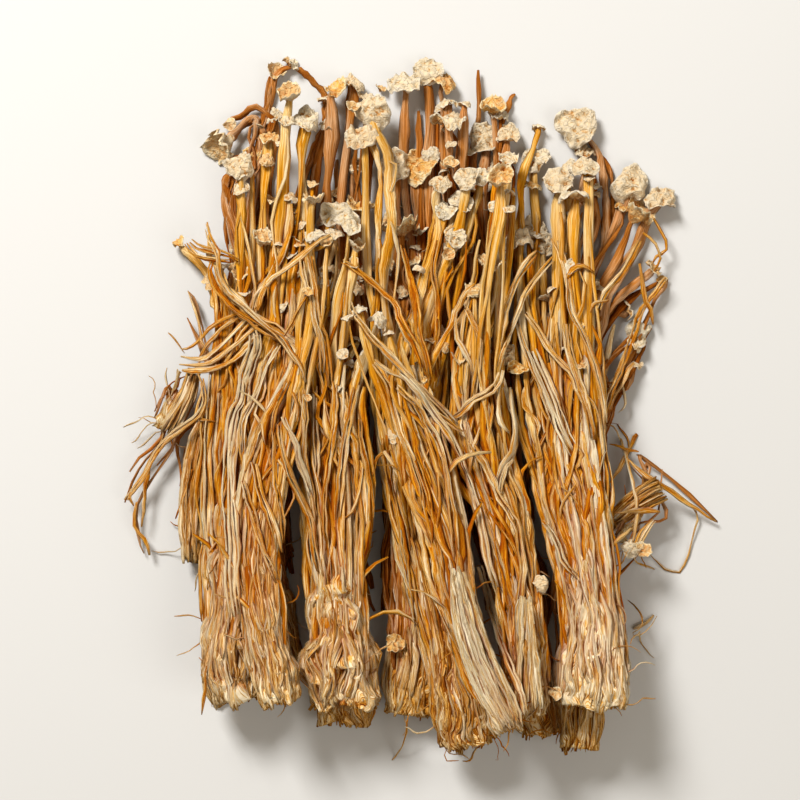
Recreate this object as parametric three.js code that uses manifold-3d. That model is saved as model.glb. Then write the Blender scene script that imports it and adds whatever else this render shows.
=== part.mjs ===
// A bunch of dried enoki mushrooms, laid flat. Millimetres, +Z up, stems along +Y with the caps at +Y.
//
// Every clump is one growth: a foot where the stems have grown together, a slim core of inner stems above it,
// and the outer stems, each of which ends in its own small cap. The clumps are laid one after another on a
// height field of what already lies there, so each one rests on those below it and none of them cross.
import * as THREE from "three";
import { mergeVertices } from "three/addons/utils/BufferGeometryUtils.js";
import Module from "manifold-3d";

// Driving dimensions.
const GAP = 0.35; // free space between one clump and the next
const STEM_WIDTH = 2.7; // a dried stem is a flattened tube
const STEM_THICKNESS = 1.8;
const STEM_SIDES = 4;
const STEM_STEP = 24; // length of one straight piece of a stem
const STEM_SWAY = 0.7; // how far a stem wanders to either side
const STEM_SPRING = 4; // how far a stem's end may stand up from what it could rest on
const CORE_SIDES = 10;
const CORE_RINGS = 6;
const CORE_LENGTH = 0.66; // share of the spine that the core takes
const CORE_FLUTE = 0.1; // how deep the grooves of a foot are, as a share of its radius
const CORE_FRAY = 3.5; // how unevenly a foot is torn off at its end
const CAP_SIDES = 6;
const CAP_CRUMPLE = 0.2; // how uneven a cap is, as a share of its radius
const SINK = 0.7; // how much of what lies on the surface is pressed flat
const ROOT = 0.1; // where on its spine a stem starts, inside the foot
const STATIONS = [ROOT, 0.38, 0.68, 1]; // places on the spine that a stem passes
const CLEAR_OF_CAP = 9; // a stem leaves the spine this far before its cap
const SPINE_STEPS = 16;
const STIFFNESS = 0.15; // a clump sags at most this much for each millimetre of its length
const SLIVER = 0.06; // edges shorter than this, left where stems join, are closed up
const MIDDLE = [5.34, -0.68]; // the middle of the bunch, in the coordinates that the clumps are given in

// A stem by the spot of its cap, the cap's width, how far the cap looks up in degrees, and bends on its way.
const button = (x, y, width, tilt, via = []) => ({ form: "button", at: [x, y], width, tilt, via });
const trumpet = (x, y, width, tilt, via = []) => ({ form: "trumpet", at: [x, y], width, tilt, via });
const bare = (x, y, via = []) => ({ form: "bare", at: [x, y], width: 0, tilt: 0, via });

// The clumps in the order in which they lie. foot and body are half the width and half the height of the
// clump at its foot and at the top of its spine.
const CLUMPS = [
  {
    name: "lower_left",
    spine: [[-33, -70], [-36, -40], [-37, -10], [-35, 20]],
    foot: [9, 4],
    body: [7.5, 2.6],
    stems: [
      button(-28, 85.5, 4, 20, [[-35, 52], [-34, 75]]),
      bare(-26.5, 85, [[-24, 60], [-19, 69], [-20.5, 79]]),
      trumpet(-43.8, 65.5, 7.5, 10, [[-37, 58], [-35.5, 72]]),
      button(-38, 62.5, 4, 60, [[-43.5, 48], [-42.5, 58]]),
      button(-32.3, 71.8, 4.2, 60),
      button(-18.5, 69.8, 3.2, 30),
      button(-34.3, 45.3, 3, 70),
      button(-41.4, 38.5, 4, 60),
    ],
  },
  {
    name: "lower_mid_left",
    spine: [[-14, -82], [-15, -50], [-16, -15], [-14, 20]],
    foot: [7.5, 3.6],
    body: [7, 2.6],
    stems: [
      trumpet(-16.9, 78, 4.8, 40),
      button(-12.5, 80.3, 5, 30),
      bare(-15.9, 61.3),
      button(-11.5, 59.4, 5, 80),
      trumpet(-10, 48, 7, 20),
      button(-8.5, 76.5, 3.5, 40),
      button(-0.5, 48.9, 3.2, 30),
    ],
  },
  {
    name: "lower_mid",
    spine: [[3, -79], [4, -50], [4, -15], [5, 20]],
    foot: [7, 4],
    body: [7, 2.6],
    stems: [
      button(1, 80.3, 7, 45),
      button(6.6, 83.9, 6.6, 80),
      button(-1.3, 59.5, 7, 80),
      button(4.5, 59, 7, 60),
      bare(4.8, 73.7),
      button(11, 80.5, 5.5, 30),
      button(12.3, 75, 4, 20),
      trumpet(0.5, 42.8, 7.5, 5),
      button(3.9, 38.8, 3.5, 40),
      trumpet(-4, 32, 5, 25),
      button(5.9, 43.5, 3.5, 20),
    ],
  },
  {
    name: "lower_mid_right",
    spine: [[36, -85], [30, -50], [24, -15], [21, 20]],
    foot: [6, 4],
    body: [7, 2.6],
    stems: [
      button(16.3, 74.3, 3, 0),
      bare(20, 84),
      trumpet(23.5, 73.5, 5, 40),
      bare(29.5, 78, [[25, 62]]),
      button(21.7, 66.5, 6.6, 80),
      button(17.3, 62.5, 4, 40),
      button(22.5, 59.9, 4, 80),
      button(27.5, 67, 5, 60),
      button(11.8, 69.6, 6.6, 20),
      button(22.3, 43, 3.6, 60),
    ],
  },
  {
    name: "lower_right",
    spine: [[45, -87], [46, -50], [44, -15], [44, 15]],
    foot: [5.5, 4],
    body: [6.5, 2.6],
    stems: [
      button(44.9, 69.1, 9, 80, [[52, 40], [51.5, 58]]),
      button(47.5, 62.8, 4, 40),
      button(58.8, 54.3, 8.5, 85),
      button(66.2, 51, 7, 60),
      trumpet(60, 46.5, 6.5, 20),
      button(64.3, 33.3, 4, 30),
      button(50, 54.3, 2.6, 30),
      button(61, 16.8, 5.6, 80, [[54, 2]]),
      button(57.9, 22.5, 4, 5),
      bare(68, 31, [[59, 14]]),
      button(53.8, 31.4, 3, 10),
    ],
  },
  {
    name: "fragment_left",
    spine: [[-52.5, -41], [-50, -22], [-47, -6], [-44, 4]],
    foot: [3.2, 2.4],
    body: [2.2, 1.6],
    stems: [bare(-42, 14), bare(-56, -22, [[-49, -4], [-56.5, -11]]), bare(-53.8, 27.5, [[-49, 14]])],
  },
  {
    name: "fragment_left_outer",
    spine: [[-61, -7], [-58, 0], [-55, 7], [-51, 12]],
    foot: [3.6, 2],
    body: [2, 1.6],
    stems: [
      bare(-45, 17),
      bare(-70, -26, [[-58, 2], [-60, -9.5], [-66, -17]]),
      bare(-65, -39, [[-57, 2], [-58, -11], [-66.5, -26]]),
    ],
  },
  {
    name: "fragment_right",
    spine: [[55, -36], [58, -31], [61.5, -26], [66, -23]],
    foot: [3, 2],
    body: [4.5, 2],
    stems: [button(60, -37.5, 3, 50, [[61.5, -12], [62.5, -26]]), bare(81, -31, [[57, -9], [66, -19]])],
  },
  {
    name: "mid",
    spine: [[17, -86], [13, -60], [6, -25], [3, 5]],
    foot: [8, 5.8],
    body: [8, 3.4],
    stems: [
      button(-7.2, 72.9, 7.6, 80, [[-3, 35], [-3, 58]]),
      button(-9.8, 65.8, 7, 60),
      button(10, 53.8, 5, 50, [[7, 30]]),
      button(11, 47.4, 4.5, 50),
      button(14, 40.5, 5, 80),
      button(15.5, 48.9, 5, 70),
      button(16.5, 54.8, 5, 80),
      button(19.9, 55.8, 4, 60),
      button(17.1, 23.4, 3.8, 30),
    ],
  },
  {
    name: "left",
    spine: [[-41.5, -75], [-42.8, -45], [-42, -15], [-39, 12]],
    foot: [7.6, 6],
    body: [7.4, 3.5],
    stems: [
      button(-39.8, 58.1, 6, 60),
      button(-33, 65.8, 4.6, 40),
      button(-44.3, 33.5, 2.6, 20),
      trumpet(-31.5, 50, 5, 10),
      bare(-17.5, 41, [[-37, 20], [-31.5, 31], [-23.5, 36]]),
      button(-56, 40, 3, 30, [[-46, 26]]),
      bare(-41.4, 36),
    ],
  },
  {
    name: "mid_left",
    spine: [[-14.3, -76], [-15, -50], [-17, -20], [-18, 3]],
    foot: [9.2, 6.8],
    body: [7.6, 3.7],
    stems: [
      button(-16.6, 47.1, 6, 80),
      button(-12.8, 44, 5.5, 70),
      button(-16.4, 41.5, 4, 40),
      button(-16.4, 26.8, 4.6, 50),
      button(-17.4, 22.1, 5, 10),
      bare(-13, 30.5),
      trumpet(-11, 37.5, 3.6, 20),
      button(-10.8, 15.1, 2.6, 10),
      button(-8.3, 11.3, 3, 40),
      button(-15.5, 6.5, 2.4, 10),
      button(-19.5, 5.5, 2.4, 0),
      button(-10.8, -15, 2, 20),
      button(-5.3, 19.5, 4, 40),
    ],
  },
  {
    name: "left_inner",
    spine: [[-29, -74], [-34.8, -48], [-34, -20], [-29, 8]],
    foot: [5.6, 5.2],
    body: [6, 3.1],
    stems: [
      trumpet(-27.8, 75.8, 5.5, 35),
      button(-23.8, 70, 6, 60),
      button(-27.8, 50.8, 3.5, 30),
      trumpet(-21.8, 49.1, 4.6, 15),
      button(-27.3, 36.1, 3, 30),
      button(-21.3, 40.8, 4.5, 40),
      bare(-48.8, 44.5, [[-25, 10], [-35, 19], [-44.5, 30]]),
    ],
  },
  {
    name: "right",
    spine: [[47.5, -75], [47, -50], [42.5, -22], [40, 3]],
    foot: [9.5, 7.2],
    body: [8.6, 4],
    stems: [
      button(35.4, 69.1, 2.8, 0, [[29.5, 40]]),
      button(34.5, 61, 6, 60),
      button(42.5, 58.8, 3.5, 60),
      button(46.3, 58.5, 5.5, 40),
      button(40, 54.8, 6.6, 60),
      button(44, 50.5, 7, 5),
      button(42.3, 47, 2.6, 10),
      trumpet(44, 44, 3.6, 30),
      button(33.8, 43, 6, 50),
      button(30, 40, 6, 50),
      button(36.3, 39.3, 5, 80),
      button(38.5, 27.8, 3, 5),
      bare(41.6, 19.3),
    ],
  },
  {
    name: "mid_right",
    spine: [[31.2, -77], [30.3, -52], [25, -27], [19, 0]],
    foot: [4.6, 4],
    body: [5.2, 2.8],
    stems: [
      trumpet(25, 54.3, 5.6, 60),
      button(27, 60, 4.5, 30),
      bare(19.9, 39.8),
      trumpet(21.8, 33.3, 5.6, 30),
      button(24.5, 35.9, 3.6, 30),
      button(25.3, 29, 3.8, 10),
      bare(23.5, 8.8),
    ],
  },
  {
    name: "mid_upper",
    spine: [[26, -80], [15.5, -55], [11.5, -33], [3, -6]],
    foot: [4, 3.4],
    body: [5.2, 2.6],
    stems: [bare(-6.5, 10), button(-2.5, 16, 2.6, 20), button(-10, 22, 3, 20), bare(2, 20), bare(5, 9)],
  },
];

const mix = (a, b, share) => a + (b - a) * share;

// A number from 0 to 1 that looks random but is always the same for the same pair.
function chance(a, b) {
  const wave = Math.sin(a * 12.9898 + b * 78.233) * 43758.5453;
  return wave - Math.floor(wave);
}

// The place at a share of the way along the smooth line through some points.
function onLine(points, share) {
  const last = points.length - 1;
  const place = Math.min(Math.max(share, 0), 1) * last;
  const k = Math.min(Math.floor(place), last - 1);
  const u = place - k;
  const [a, b, c, d] = [k - 1, k, k + 1, k + 2].map((i) => points[Math.min(Math.max(i, 0), last)]);
  return b.map(
    (_, n) =>
      0.5 *
      (2 * b[n] +
        (c[n] - a[n]) * u +
        (2 * a[n] - 5 * b[n] + 4 * c[n] - d[n]) * u * u +
        (3 * b[n] - a[n] - 3 * c[n] + d[n]) * u * u * u),
  );
}

// The height field: the top of everything that has been laid so far, on a grid of 1 mm cells.
const FIELD = { low: [-90, -110], size: [190, 210] };
const field = new Float64Array(FIELD.size[0] * FIELD.size[1]);

function cellsNear(x, y, radius, use) {
  const [x0, y0] = [x - FIELD.low[0], y - FIELD.low[1]];
  const reach = radius + 0.75;
  for (let i = Math.ceil(x0 - reach); i <= x0 + reach; i++)
    for (let j = Math.ceil(y0 - reach); j <= y0 + reach; j++)
      if (Math.hypot(i - x0, j - y0) <= reach) use(j * FIELD.size[0] + i);
}

function heightNear(x, y, radius) {
  let top = 0;
  cellsNear(x, y, radius, (cell) => (top = Math.max(top, field[cell])));
  return top;
}

function raiseField(x, y, radius, top) {
  cellsNear(x, y, radius, (cell) => (field[cell] = Math.max(field[cell], top)));
}

// The height of the middle of something that rests on the top of what is below, or is pressed on the surface.
const restingOn = (below, halfHeight) => (below > 0 ? below + GAP + halfHeight : halfHeight - SINK);

// One step of a clump's spine, on what lies there: its place, the direction across it, its half width and
// height, and the least height that it can have.
function spineStep(clump, t) {
  const [x, y] = onLine(clump.spine, t);
  const [x1, y1] = onLine(clump.spine, t + 0.02);
  const [x2, y2] = onLine(clump.spine, t - 0.02);
  const run = Math.hypot(x1 - x2, y1 - y2);
  const side = [(y1 - y2) / run, -(x1 - x2) / run];
  const width = mix(clump.foot[0], clump.body[0], t);
  const height = mix(clump.foot[1], clump.body[1], t);
  let z = height - SINK;
  for (let u = -1.1; u < 1.15; u += 0.1) {
    const below = heightNear(x + side[0] * u * width, y + side[1] * u * width, 0.5);
    z = Math.max(z, restingOn(below, height * Math.sqrt(Math.max(0.1, 1 - u * u))));
  }
  return { at: [x, y, z], side, width, height, least: z };
}

// A clump's spine at rest. It bridges what is low, because a clump is too stiff to sag into every hollow.
function laidSpine(clump) {
  const steps = [];
  for (let k = 0; k <= SPINE_STEPS; k++) steps.push(spineStep(clump, k / SPINE_STEPS));
  const holdUp = (here, beside) => {
    const sag = STIFFNESS * Math.hypot(here.at[0] - beside.at[0], here.at[1] - beside.at[1]);
    here.at[2] = here.least = Math.max(here.least, beside.least - sag);
  };
  for (let k = 1; k <= SPINE_STEPS; k++) holdUp(steps[k], steps[k - 1]);
  for (let k = SPINE_STEPS - 1; k >= 0; k--) holdUp(steps[k], steps[k + 1]);
  for (let round = 0; round < 12; round++)
    for (let k = 1; k < SPINE_STEPS; k++) {
      const level = (steps[k - 1].at[2] + steps[k + 1].at[2]) / 2;
      steps[k].at[2] = Math.max(steps[k].least, level);
    }
  return steps;
}

function onSpine(steps, t) {
  const place = t * SPINE_STEPS;
  const k = Math.min(Math.floor(place), SPINE_STEPS - 1);
  const u = place - k;
  const [a, b] = [steps[k], steps[k + 1]];
  return {
    at: a.at.map((v, n) => mix(v, b.at[n], u)),
    side: a.side.map((v, n) => mix(v, b.side[n], u)),
    width: mix(a.width, b.width, u),
    height: mix(a.height, b.height, u),
  };
}

// Lifts a stem's points until every straight piece of it clears the height field.
function liftClear(path, halfWidth, halfHeight) {
  const tests = [];
  for (let k = 0; k < path.length - 1; k++)
    for (let q = 0.05; q < 1; q += 0.15) {
      const [x, y] = [mix(path[k][0], path[k + 1][0], q), mix(path[k][1], path[k + 1][1], q)];
      const below = heightNear(x, y, halfWidth);
      tests.push({ k, q, least: restingOn(below, halfHeight) });
    }
  for (let round = 0; round < 30; round++) {
    if (round < 22)
      for (let k = 1; k < path.length - 1; k++)
        path[k][2] = mix(path[k][2], (path[k - 1][2] + path[k + 1][2]) / 2, 0.25);
    for (const { k, q, least } of tests) {
      const short = least - mix(path[k][2], path[k + 1][2], q);
      if (short <= 0) continue;
      const share = short / ((1 - q) ** 2 + q ** 2);
      path[k][2] += share * (1 - q);
      path[k + 1][2] += share * q;
    }
  }
}

// How far a cap reaches up and down from its middle, and how far its middle stands before the stem's end.
const capRise = (stem) => stem.width * (0.3 + 0.22 * Math.cos((stem.tilt * Math.PI) / 180));

// The points of one stem, from inside the foot to its cap. lateral runs from -1 to 1 across the clump.
function stemPath(steps, stem, lateral, upper, seed) {
  const rise = upper * Math.sqrt(Math.max(0, 1 - lateral * lateral * 0.9));
  const route = [];
  const turn = stem.via.length ? stem.via[0] : stem.at;
  for (const t of STATIONS) {
    const { at, side, width, height } = onSpine(steps, t);
    if (route.length > 1 && Math.hypot(turn[0] - at[0], turn[1] - at[1]) < CLEAR_OF_CAP) break;
    if (route.length > 1 && at[1] > turn[1]) break;
    const across = lateral * width * mix(0.6, 1, t);
    const up = rise * height * mix(0.5, 1, t);
    route.push([at[0] + side[0] * across, at[1] + side[1] * across, at[2] + up]);
  }
  const [x, y] = stem.at;
  const under = heightNear(x, y, Math.max(stem.width / 2, 1));
  const from = route[route.length - 1][2];
  const rest = restingOn(under, Math.max(capRise(stem), STEM_THICKNESS / 2));
  const tip = rest + STEM_SPRING * Math.max(0, chance(seed, 3) - 0.3);
  stem.via.forEach((spot, n) => route.push([...spot, mix(from, tip, (n + 1) / (stem.via.length + 1))]));
  route.push([x, y, tip]);

  let length = 0;
  for (let k = 1; k < route.length; k++)
    length += Math.hypot(route[k][0] - route[k - 1][0], route[k][1] - route[k - 1][1]);
  const pieces = Math.max(4, Math.round(length / STEM_STEP) + stem.via.length);
  const path = [];
  for (let k = 0; k <= pieces; k++) {
    const t = k / pieces;
    const point = onLine(route, t);
    const sway = STEM_SWAY * Math.sin(Math.PI * t) * (2 * chance(seed, k + 10) - 1);
    path.push([point[0] + sway, point[1], point[2]]);
  }
  liftClear(path, STEM_WIDTH / 2, STEM_THICKNESS / 2);
  const end = path[pieces];
  if (stem.width) end[2] = Math.max(end[2], restingOn(under, capRise(stem)));
  return path;
}

const wasm = await Module();
wasm.setup();

function solidOf(geometry) {
  const plain = new THREE.BufferGeometry();
  plain.setAttribute("position", geometry.getAttribute("position"));
  if (geometry.index) plain.setIndex(geometry.index);
  const merged = mergeVertices(plain, 1e-4);
  return new wasm.Manifold(
    new wasm.Mesh({
      numProp: 3,
      vertProperties: merged.attributes.position.array,
      triVerts: new Uint32Array(merged.index.array),
    }),
  );
}

function geometryOf(solid) {
  const mesh = solid.getMesh();
  const vertices = new Float32Array(mesh.numVert * 3);
  for (let i = 0; i < mesh.numVert; i++)
    vertices.set(mesh.vertProperties.subarray(i * mesh.numProp, i * mesh.numProp + 3), i * 3);
  const geometry = new THREE.BufferGeometry();
  geometry.setAttribute("position", new THREE.BufferAttribute(vertices, 3));
  geometry.setIndex(new THREE.BufferAttribute(mesh.triVerts, 1));
  geometry.computeVertexNormals();
  return geometry;
}

// A closed tube along a path. size(t, angle) gives the half width and half height there.
function tube(path, sides, rings, size) {
  const geometry = new THREE.CylinderGeometry(1, 1, 1, sides, rings);
  const position = geometry.getAttribute("position");
  const points = path.map((p) => new THREE.Vector3(...p));
  const last = points.length - 1;
  const up = new THREE.Vector3(0, 0, 1);
  const frames = points.map((point, k) => {
    const along = points[Math.min(k + 1, last)].clone().sub(points[Math.max(k - 1, 0)]).normalize();
    const side = along.clone().cross(up).normalize();
    return { point, side, along, top: side.clone().cross(along) };
  });
  for (let i = 0; i < position.count; i++) {
    const t = 0.5 + position.getY(i);
    const { point, side, along, top } = frames[Math.round(t * last)];
    const [x, z] = [position.getX(i), position.getZ(i)];
    const [width, height, push = 0] = size(t, Math.atan2(z, x), Math.hypot(x, z));
    const placed = point.clone().addScaledVector(side, x * width).addScaledVector(top, z * height);
    placed.addScaledVector(along, push);
    position.setXYZ(i, placed.x, placed.y, placed.z);
  }
  return solidOf(geometry);
}

function stemTube(path) {
  return tube(path, STEM_SIDES, path.length - 1, (t) => {
    const taper = mix(1.08, 0.86, t);
    return [(STEM_WIDTH / 2) * taper, (STEM_THICKNESS / 2) * taper];
  });
}

// The foot and the inner stems above it: fluted, torn off unevenly at the foot, and slim at its upper end.
function core(clump, steps, number) {
  const path = [];
  for (let k = 0; k <= CORE_RINGS; k++) path.push(onSpine(steps, (CORE_LENGTH * k) / CORE_RINGS).at);
  return tube(path, CORE_SIDES, CORE_RINGS, (t, angle, out) => {
    const here = onSpine(steps, CORE_LENGTH * t);
    const flute = Math.round((angle / (2 * Math.PI)) * CORE_SIDES);
    const swell = coreSwell(CORE_LENGTH * t) * (1 + CORE_FLUTE * (flute % 2 ? -1 : 1));
    const fray = t === 0 && out > 0.5 ? CORE_FRAY * (chance(number, flute + 40) - 0.6) : 0;
    return [here.width * swell, here.height * swell, fray];
  });
}

// How full the core is at a share t of the spine: full at the foot, then slimmer, so that stems stand out.
function coreSwell(t) {
  if (t < 0.12) return mix(0.86, 0.94, t / 0.12);
  return mix(0.94, 0.34, Math.min(1, (t - 0.12) / 0.45));
}

// A cap's outline from its top down to where the stem enters, as [radius, height] in shares of its radius.
const OUTLINES = {
  button: [[0, 0.48], [0.62, 0.36], [1, -0.06], [0.7, -0.24], [0, -0.16]],
  trumpet: [[0, 0.02], [0.6, 0.2], [1, 0.42], [0.72, 0.02], [0, -0.5]],
};

function cap(stem, path, seed) {
  const outline = OUTLINES[stem.form].map(([r, h]) => new THREE.Vector2(r, h)).reverse();
  const geometry = new THREE.LatheGeometry(outline, CAP_SIDES);
  const radius = stem.width / 2;
  const position = geometry.getAttribute("position");
  for (let i = 0; i < position.count; i++) {
    const [x, y, z] = [position.getX(i), position.getY(i), position.getZ(i)];
    const sixth = Math.round((Math.atan2(z, x) / (2 * Math.PI)) * CAP_SIDES);
    const turn = (sixth + CAP_SIDES) % CAP_SIDES;
    const ring = Math.round(Math.hypot(x, z) * 10);
    const uneven = 1 + CAP_CRUMPLE * (2 * chance(seed + ring, turn + 20) - 1);
    position.setXYZ(i, x * uneven * radius, y * radius, z * uneven * radius);
  }
  const end = new THREE.Vector3(...path[path.length - 1]);
  const heading = end.clone().sub(new THREE.Vector3(...path[path.length - 2]));
  heading.z = 0;
  heading.normalize();
  const tilt = (stem.tilt * Math.PI) / 180;
  const axis = heading.multiplyScalar(Math.cos(tilt)).add(new THREE.Vector3(0, 0, Math.sin(tilt)));
  const turned = new THREE.Quaternion().setFromUnitVectors(new THREE.Vector3(0, 1, 0), axis.normalize());
  geometry.applyQuaternion(turned);
  geometry.translate(end.x, end.y, end.z);
  return solidOf(geometry);
}

// A clump's stems from left to right, each with its path in the heap.
function laidStems(clump, steps, number) {
  const order = clump.stems.map((_, i) => i).sort((a, b) => clump.stems[a].at[0] - clump.stems[b].at[0]);
  return order.map((i, rank) => {
    const seed = number * 100 + i;
    const lateral = mix(-0.95, 0.95, rank / (order.length - 1));
    const upper = chance(seed, 1) < 0.25 ? -0.7 : mix(0.55, 1, chance(seed, 2));
    return { ...clump.stems[i], seed, path: stemPath(steps, clump.stems[i], lateral, upper, seed) };
  });
}

// Raises the height field by a clump's core.
function coverCore(steps) {
  for (let t = -0.02; t <= CORE_LENGTH; t += 0.01) {
    const { at, side, width, height } = onSpine(steps, Math.max(t, 0));
    const swell = coreSwell(t) * (1 + CORE_FLUTE);
    const along = t < 0 ? CORE_FRAY : 0;
    for (let u = -1; u <= 1; u += 0.125)
      raiseField(
        at[0] + side[0] * u * width * swell + side[1] * along,
        at[1] + side[1] * u * width * swell - side[0] * along,
        1,
        at[2] + height * swell * Math.sqrt(1 - u * u) + 0.3,
      );
  }
}

// Raises the height field by a stem and its cap.
function coverStem({ path, width, tilt }) {
  for (let k = 0; k < path.length - 1; k++)
    for (let q = 0; q < 1; q += 1 / STEM_STEP)
      raiseField(
        mix(path[k][0], path[k + 1][0], q),
        mix(path[k][1], path[k + 1][1], q),
        STEM_WIDTH / 2,
        mix(path[k][2], path[k + 1][2], q) + (STEM_THICKNESS / 2) * 1.1,
      );
  const end = path[path.length - 1];
  if (width) raiseField(end[0], end[1], width * 0.6, end[2] + capRise({ width, tilt }));
}

// Lays one clump on what is there: one body, of its core with its stems and caps grown into it.
function layClump(clump, number) {
  const steps = laidSpine(clump);
  const stems = laidStems(clump, steps, number);
  let solid = core(clump, steps, number);
  for (const stem of stems) {
    solid = solid.add(stemTube(stem.path));
    if (stem.width) solid = solid.add(cap(stem, stem.path, stem.seed));
  }
  coverCore(steps);
  stems.forEach(coverStem);
  const whole = solid.subtract(surface).asOriginal().simplify(SLIVER);
  return whole.decompose().reduce((a, b) => (a.volume() > b.volume() ? a : b));
}

// The surface that the bunch lies on presses flat what would reach below it.
const below = new THREE.BoxGeometry(400, 400, 50);
below.translate(0, 0, -25);
const surface = solidOf(below);

// What lies underneath has dried browner than what lies on top.
const BROWN_STEM = new THREE.Color(0xb98448);
const PALE_STEM = new THREE.Color(0xe2b877);

const bunch = new THREE.Group();
CLUMPS.forEach((clump, number) => {
  const geometry = geometryOf(layClump(clump, number + 1));
  geometry.translate(-MIDDLE[0], -MIDDLE[1], 0);
  const color = BROWN_STEM.clone().lerp(PALE_STEM, number / (CLUMPS.length - 1));
  const material = new THREE.MeshStandardMaterial({ color, roughness: 0.72, metalness: 0 });
  const mesh = new THREE.Mesh(geometry, material);
  mesh.name = clump.name;
  bunch.add(mesh);
});

export default bunch;
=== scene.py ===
import math

import bpy
import numpy as np
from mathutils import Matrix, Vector, noise


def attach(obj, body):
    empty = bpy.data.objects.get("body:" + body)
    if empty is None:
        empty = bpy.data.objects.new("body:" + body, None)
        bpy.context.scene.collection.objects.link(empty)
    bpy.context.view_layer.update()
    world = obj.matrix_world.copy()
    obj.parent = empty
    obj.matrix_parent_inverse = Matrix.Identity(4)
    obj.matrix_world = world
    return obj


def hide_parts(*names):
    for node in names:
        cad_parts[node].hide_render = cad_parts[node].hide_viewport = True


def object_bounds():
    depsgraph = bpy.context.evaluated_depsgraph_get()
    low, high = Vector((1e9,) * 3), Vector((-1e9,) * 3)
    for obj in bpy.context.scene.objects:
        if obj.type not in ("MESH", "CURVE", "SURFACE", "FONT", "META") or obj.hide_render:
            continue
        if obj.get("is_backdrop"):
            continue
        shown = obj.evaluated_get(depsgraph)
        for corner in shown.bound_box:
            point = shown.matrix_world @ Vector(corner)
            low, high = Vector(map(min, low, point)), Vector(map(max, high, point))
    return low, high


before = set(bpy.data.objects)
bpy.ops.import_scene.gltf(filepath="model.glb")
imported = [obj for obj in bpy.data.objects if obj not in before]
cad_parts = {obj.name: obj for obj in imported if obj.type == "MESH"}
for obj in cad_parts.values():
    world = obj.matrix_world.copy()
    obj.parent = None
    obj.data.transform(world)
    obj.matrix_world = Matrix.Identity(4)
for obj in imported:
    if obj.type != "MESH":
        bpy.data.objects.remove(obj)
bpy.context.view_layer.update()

# The heap. Each clump of dried enoki is one growth: a foot where the stems have grown together, and stems
# that each end in a small cap. The clumps lie one on another in the order of the list. They settle by the
# same rule as the solids do, in millimetres, so each piece below lands where its solid is.
GAP = 0.35
STEM_WIDTH = 2.7
STEM_THICKNESS = 1.8
STEM_STEP = 24
STEM_SWAY = 0.7
STEM_SPRING = 4
CORE_LENGTH = 0.66
CORE_FLUTE = 0.1
CORE_FRAY = 3.5
CAP_SIDES = 6
CAP_CRUMPLE = 0.2
SINK = 0.7
ROOT = 0.1
STATIONS = (ROOT, 0.38, 0.68, 1)
CLEAR_OF_CAP = 9
SPINE_STEPS = 16
STIFFNESS = 0.15
MIDDLE = np.array([5.34, -0.68, 0])


def stem(form, x, y, width, tilt, via):
    return dict(form=form, at=[x, y], width=width, tilt=tilt, via=via)


def button(x, y, width, tilt, via=()):
    return stem("button", x, y, width, tilt, via)


def trumpet(x, y, width, tilt, via=()):
    return stem("trumpet", x, y, width, tilt, via)


def bare(x, y, via=()):
    return stem("bare", x, y, 0, 0, via)


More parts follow.
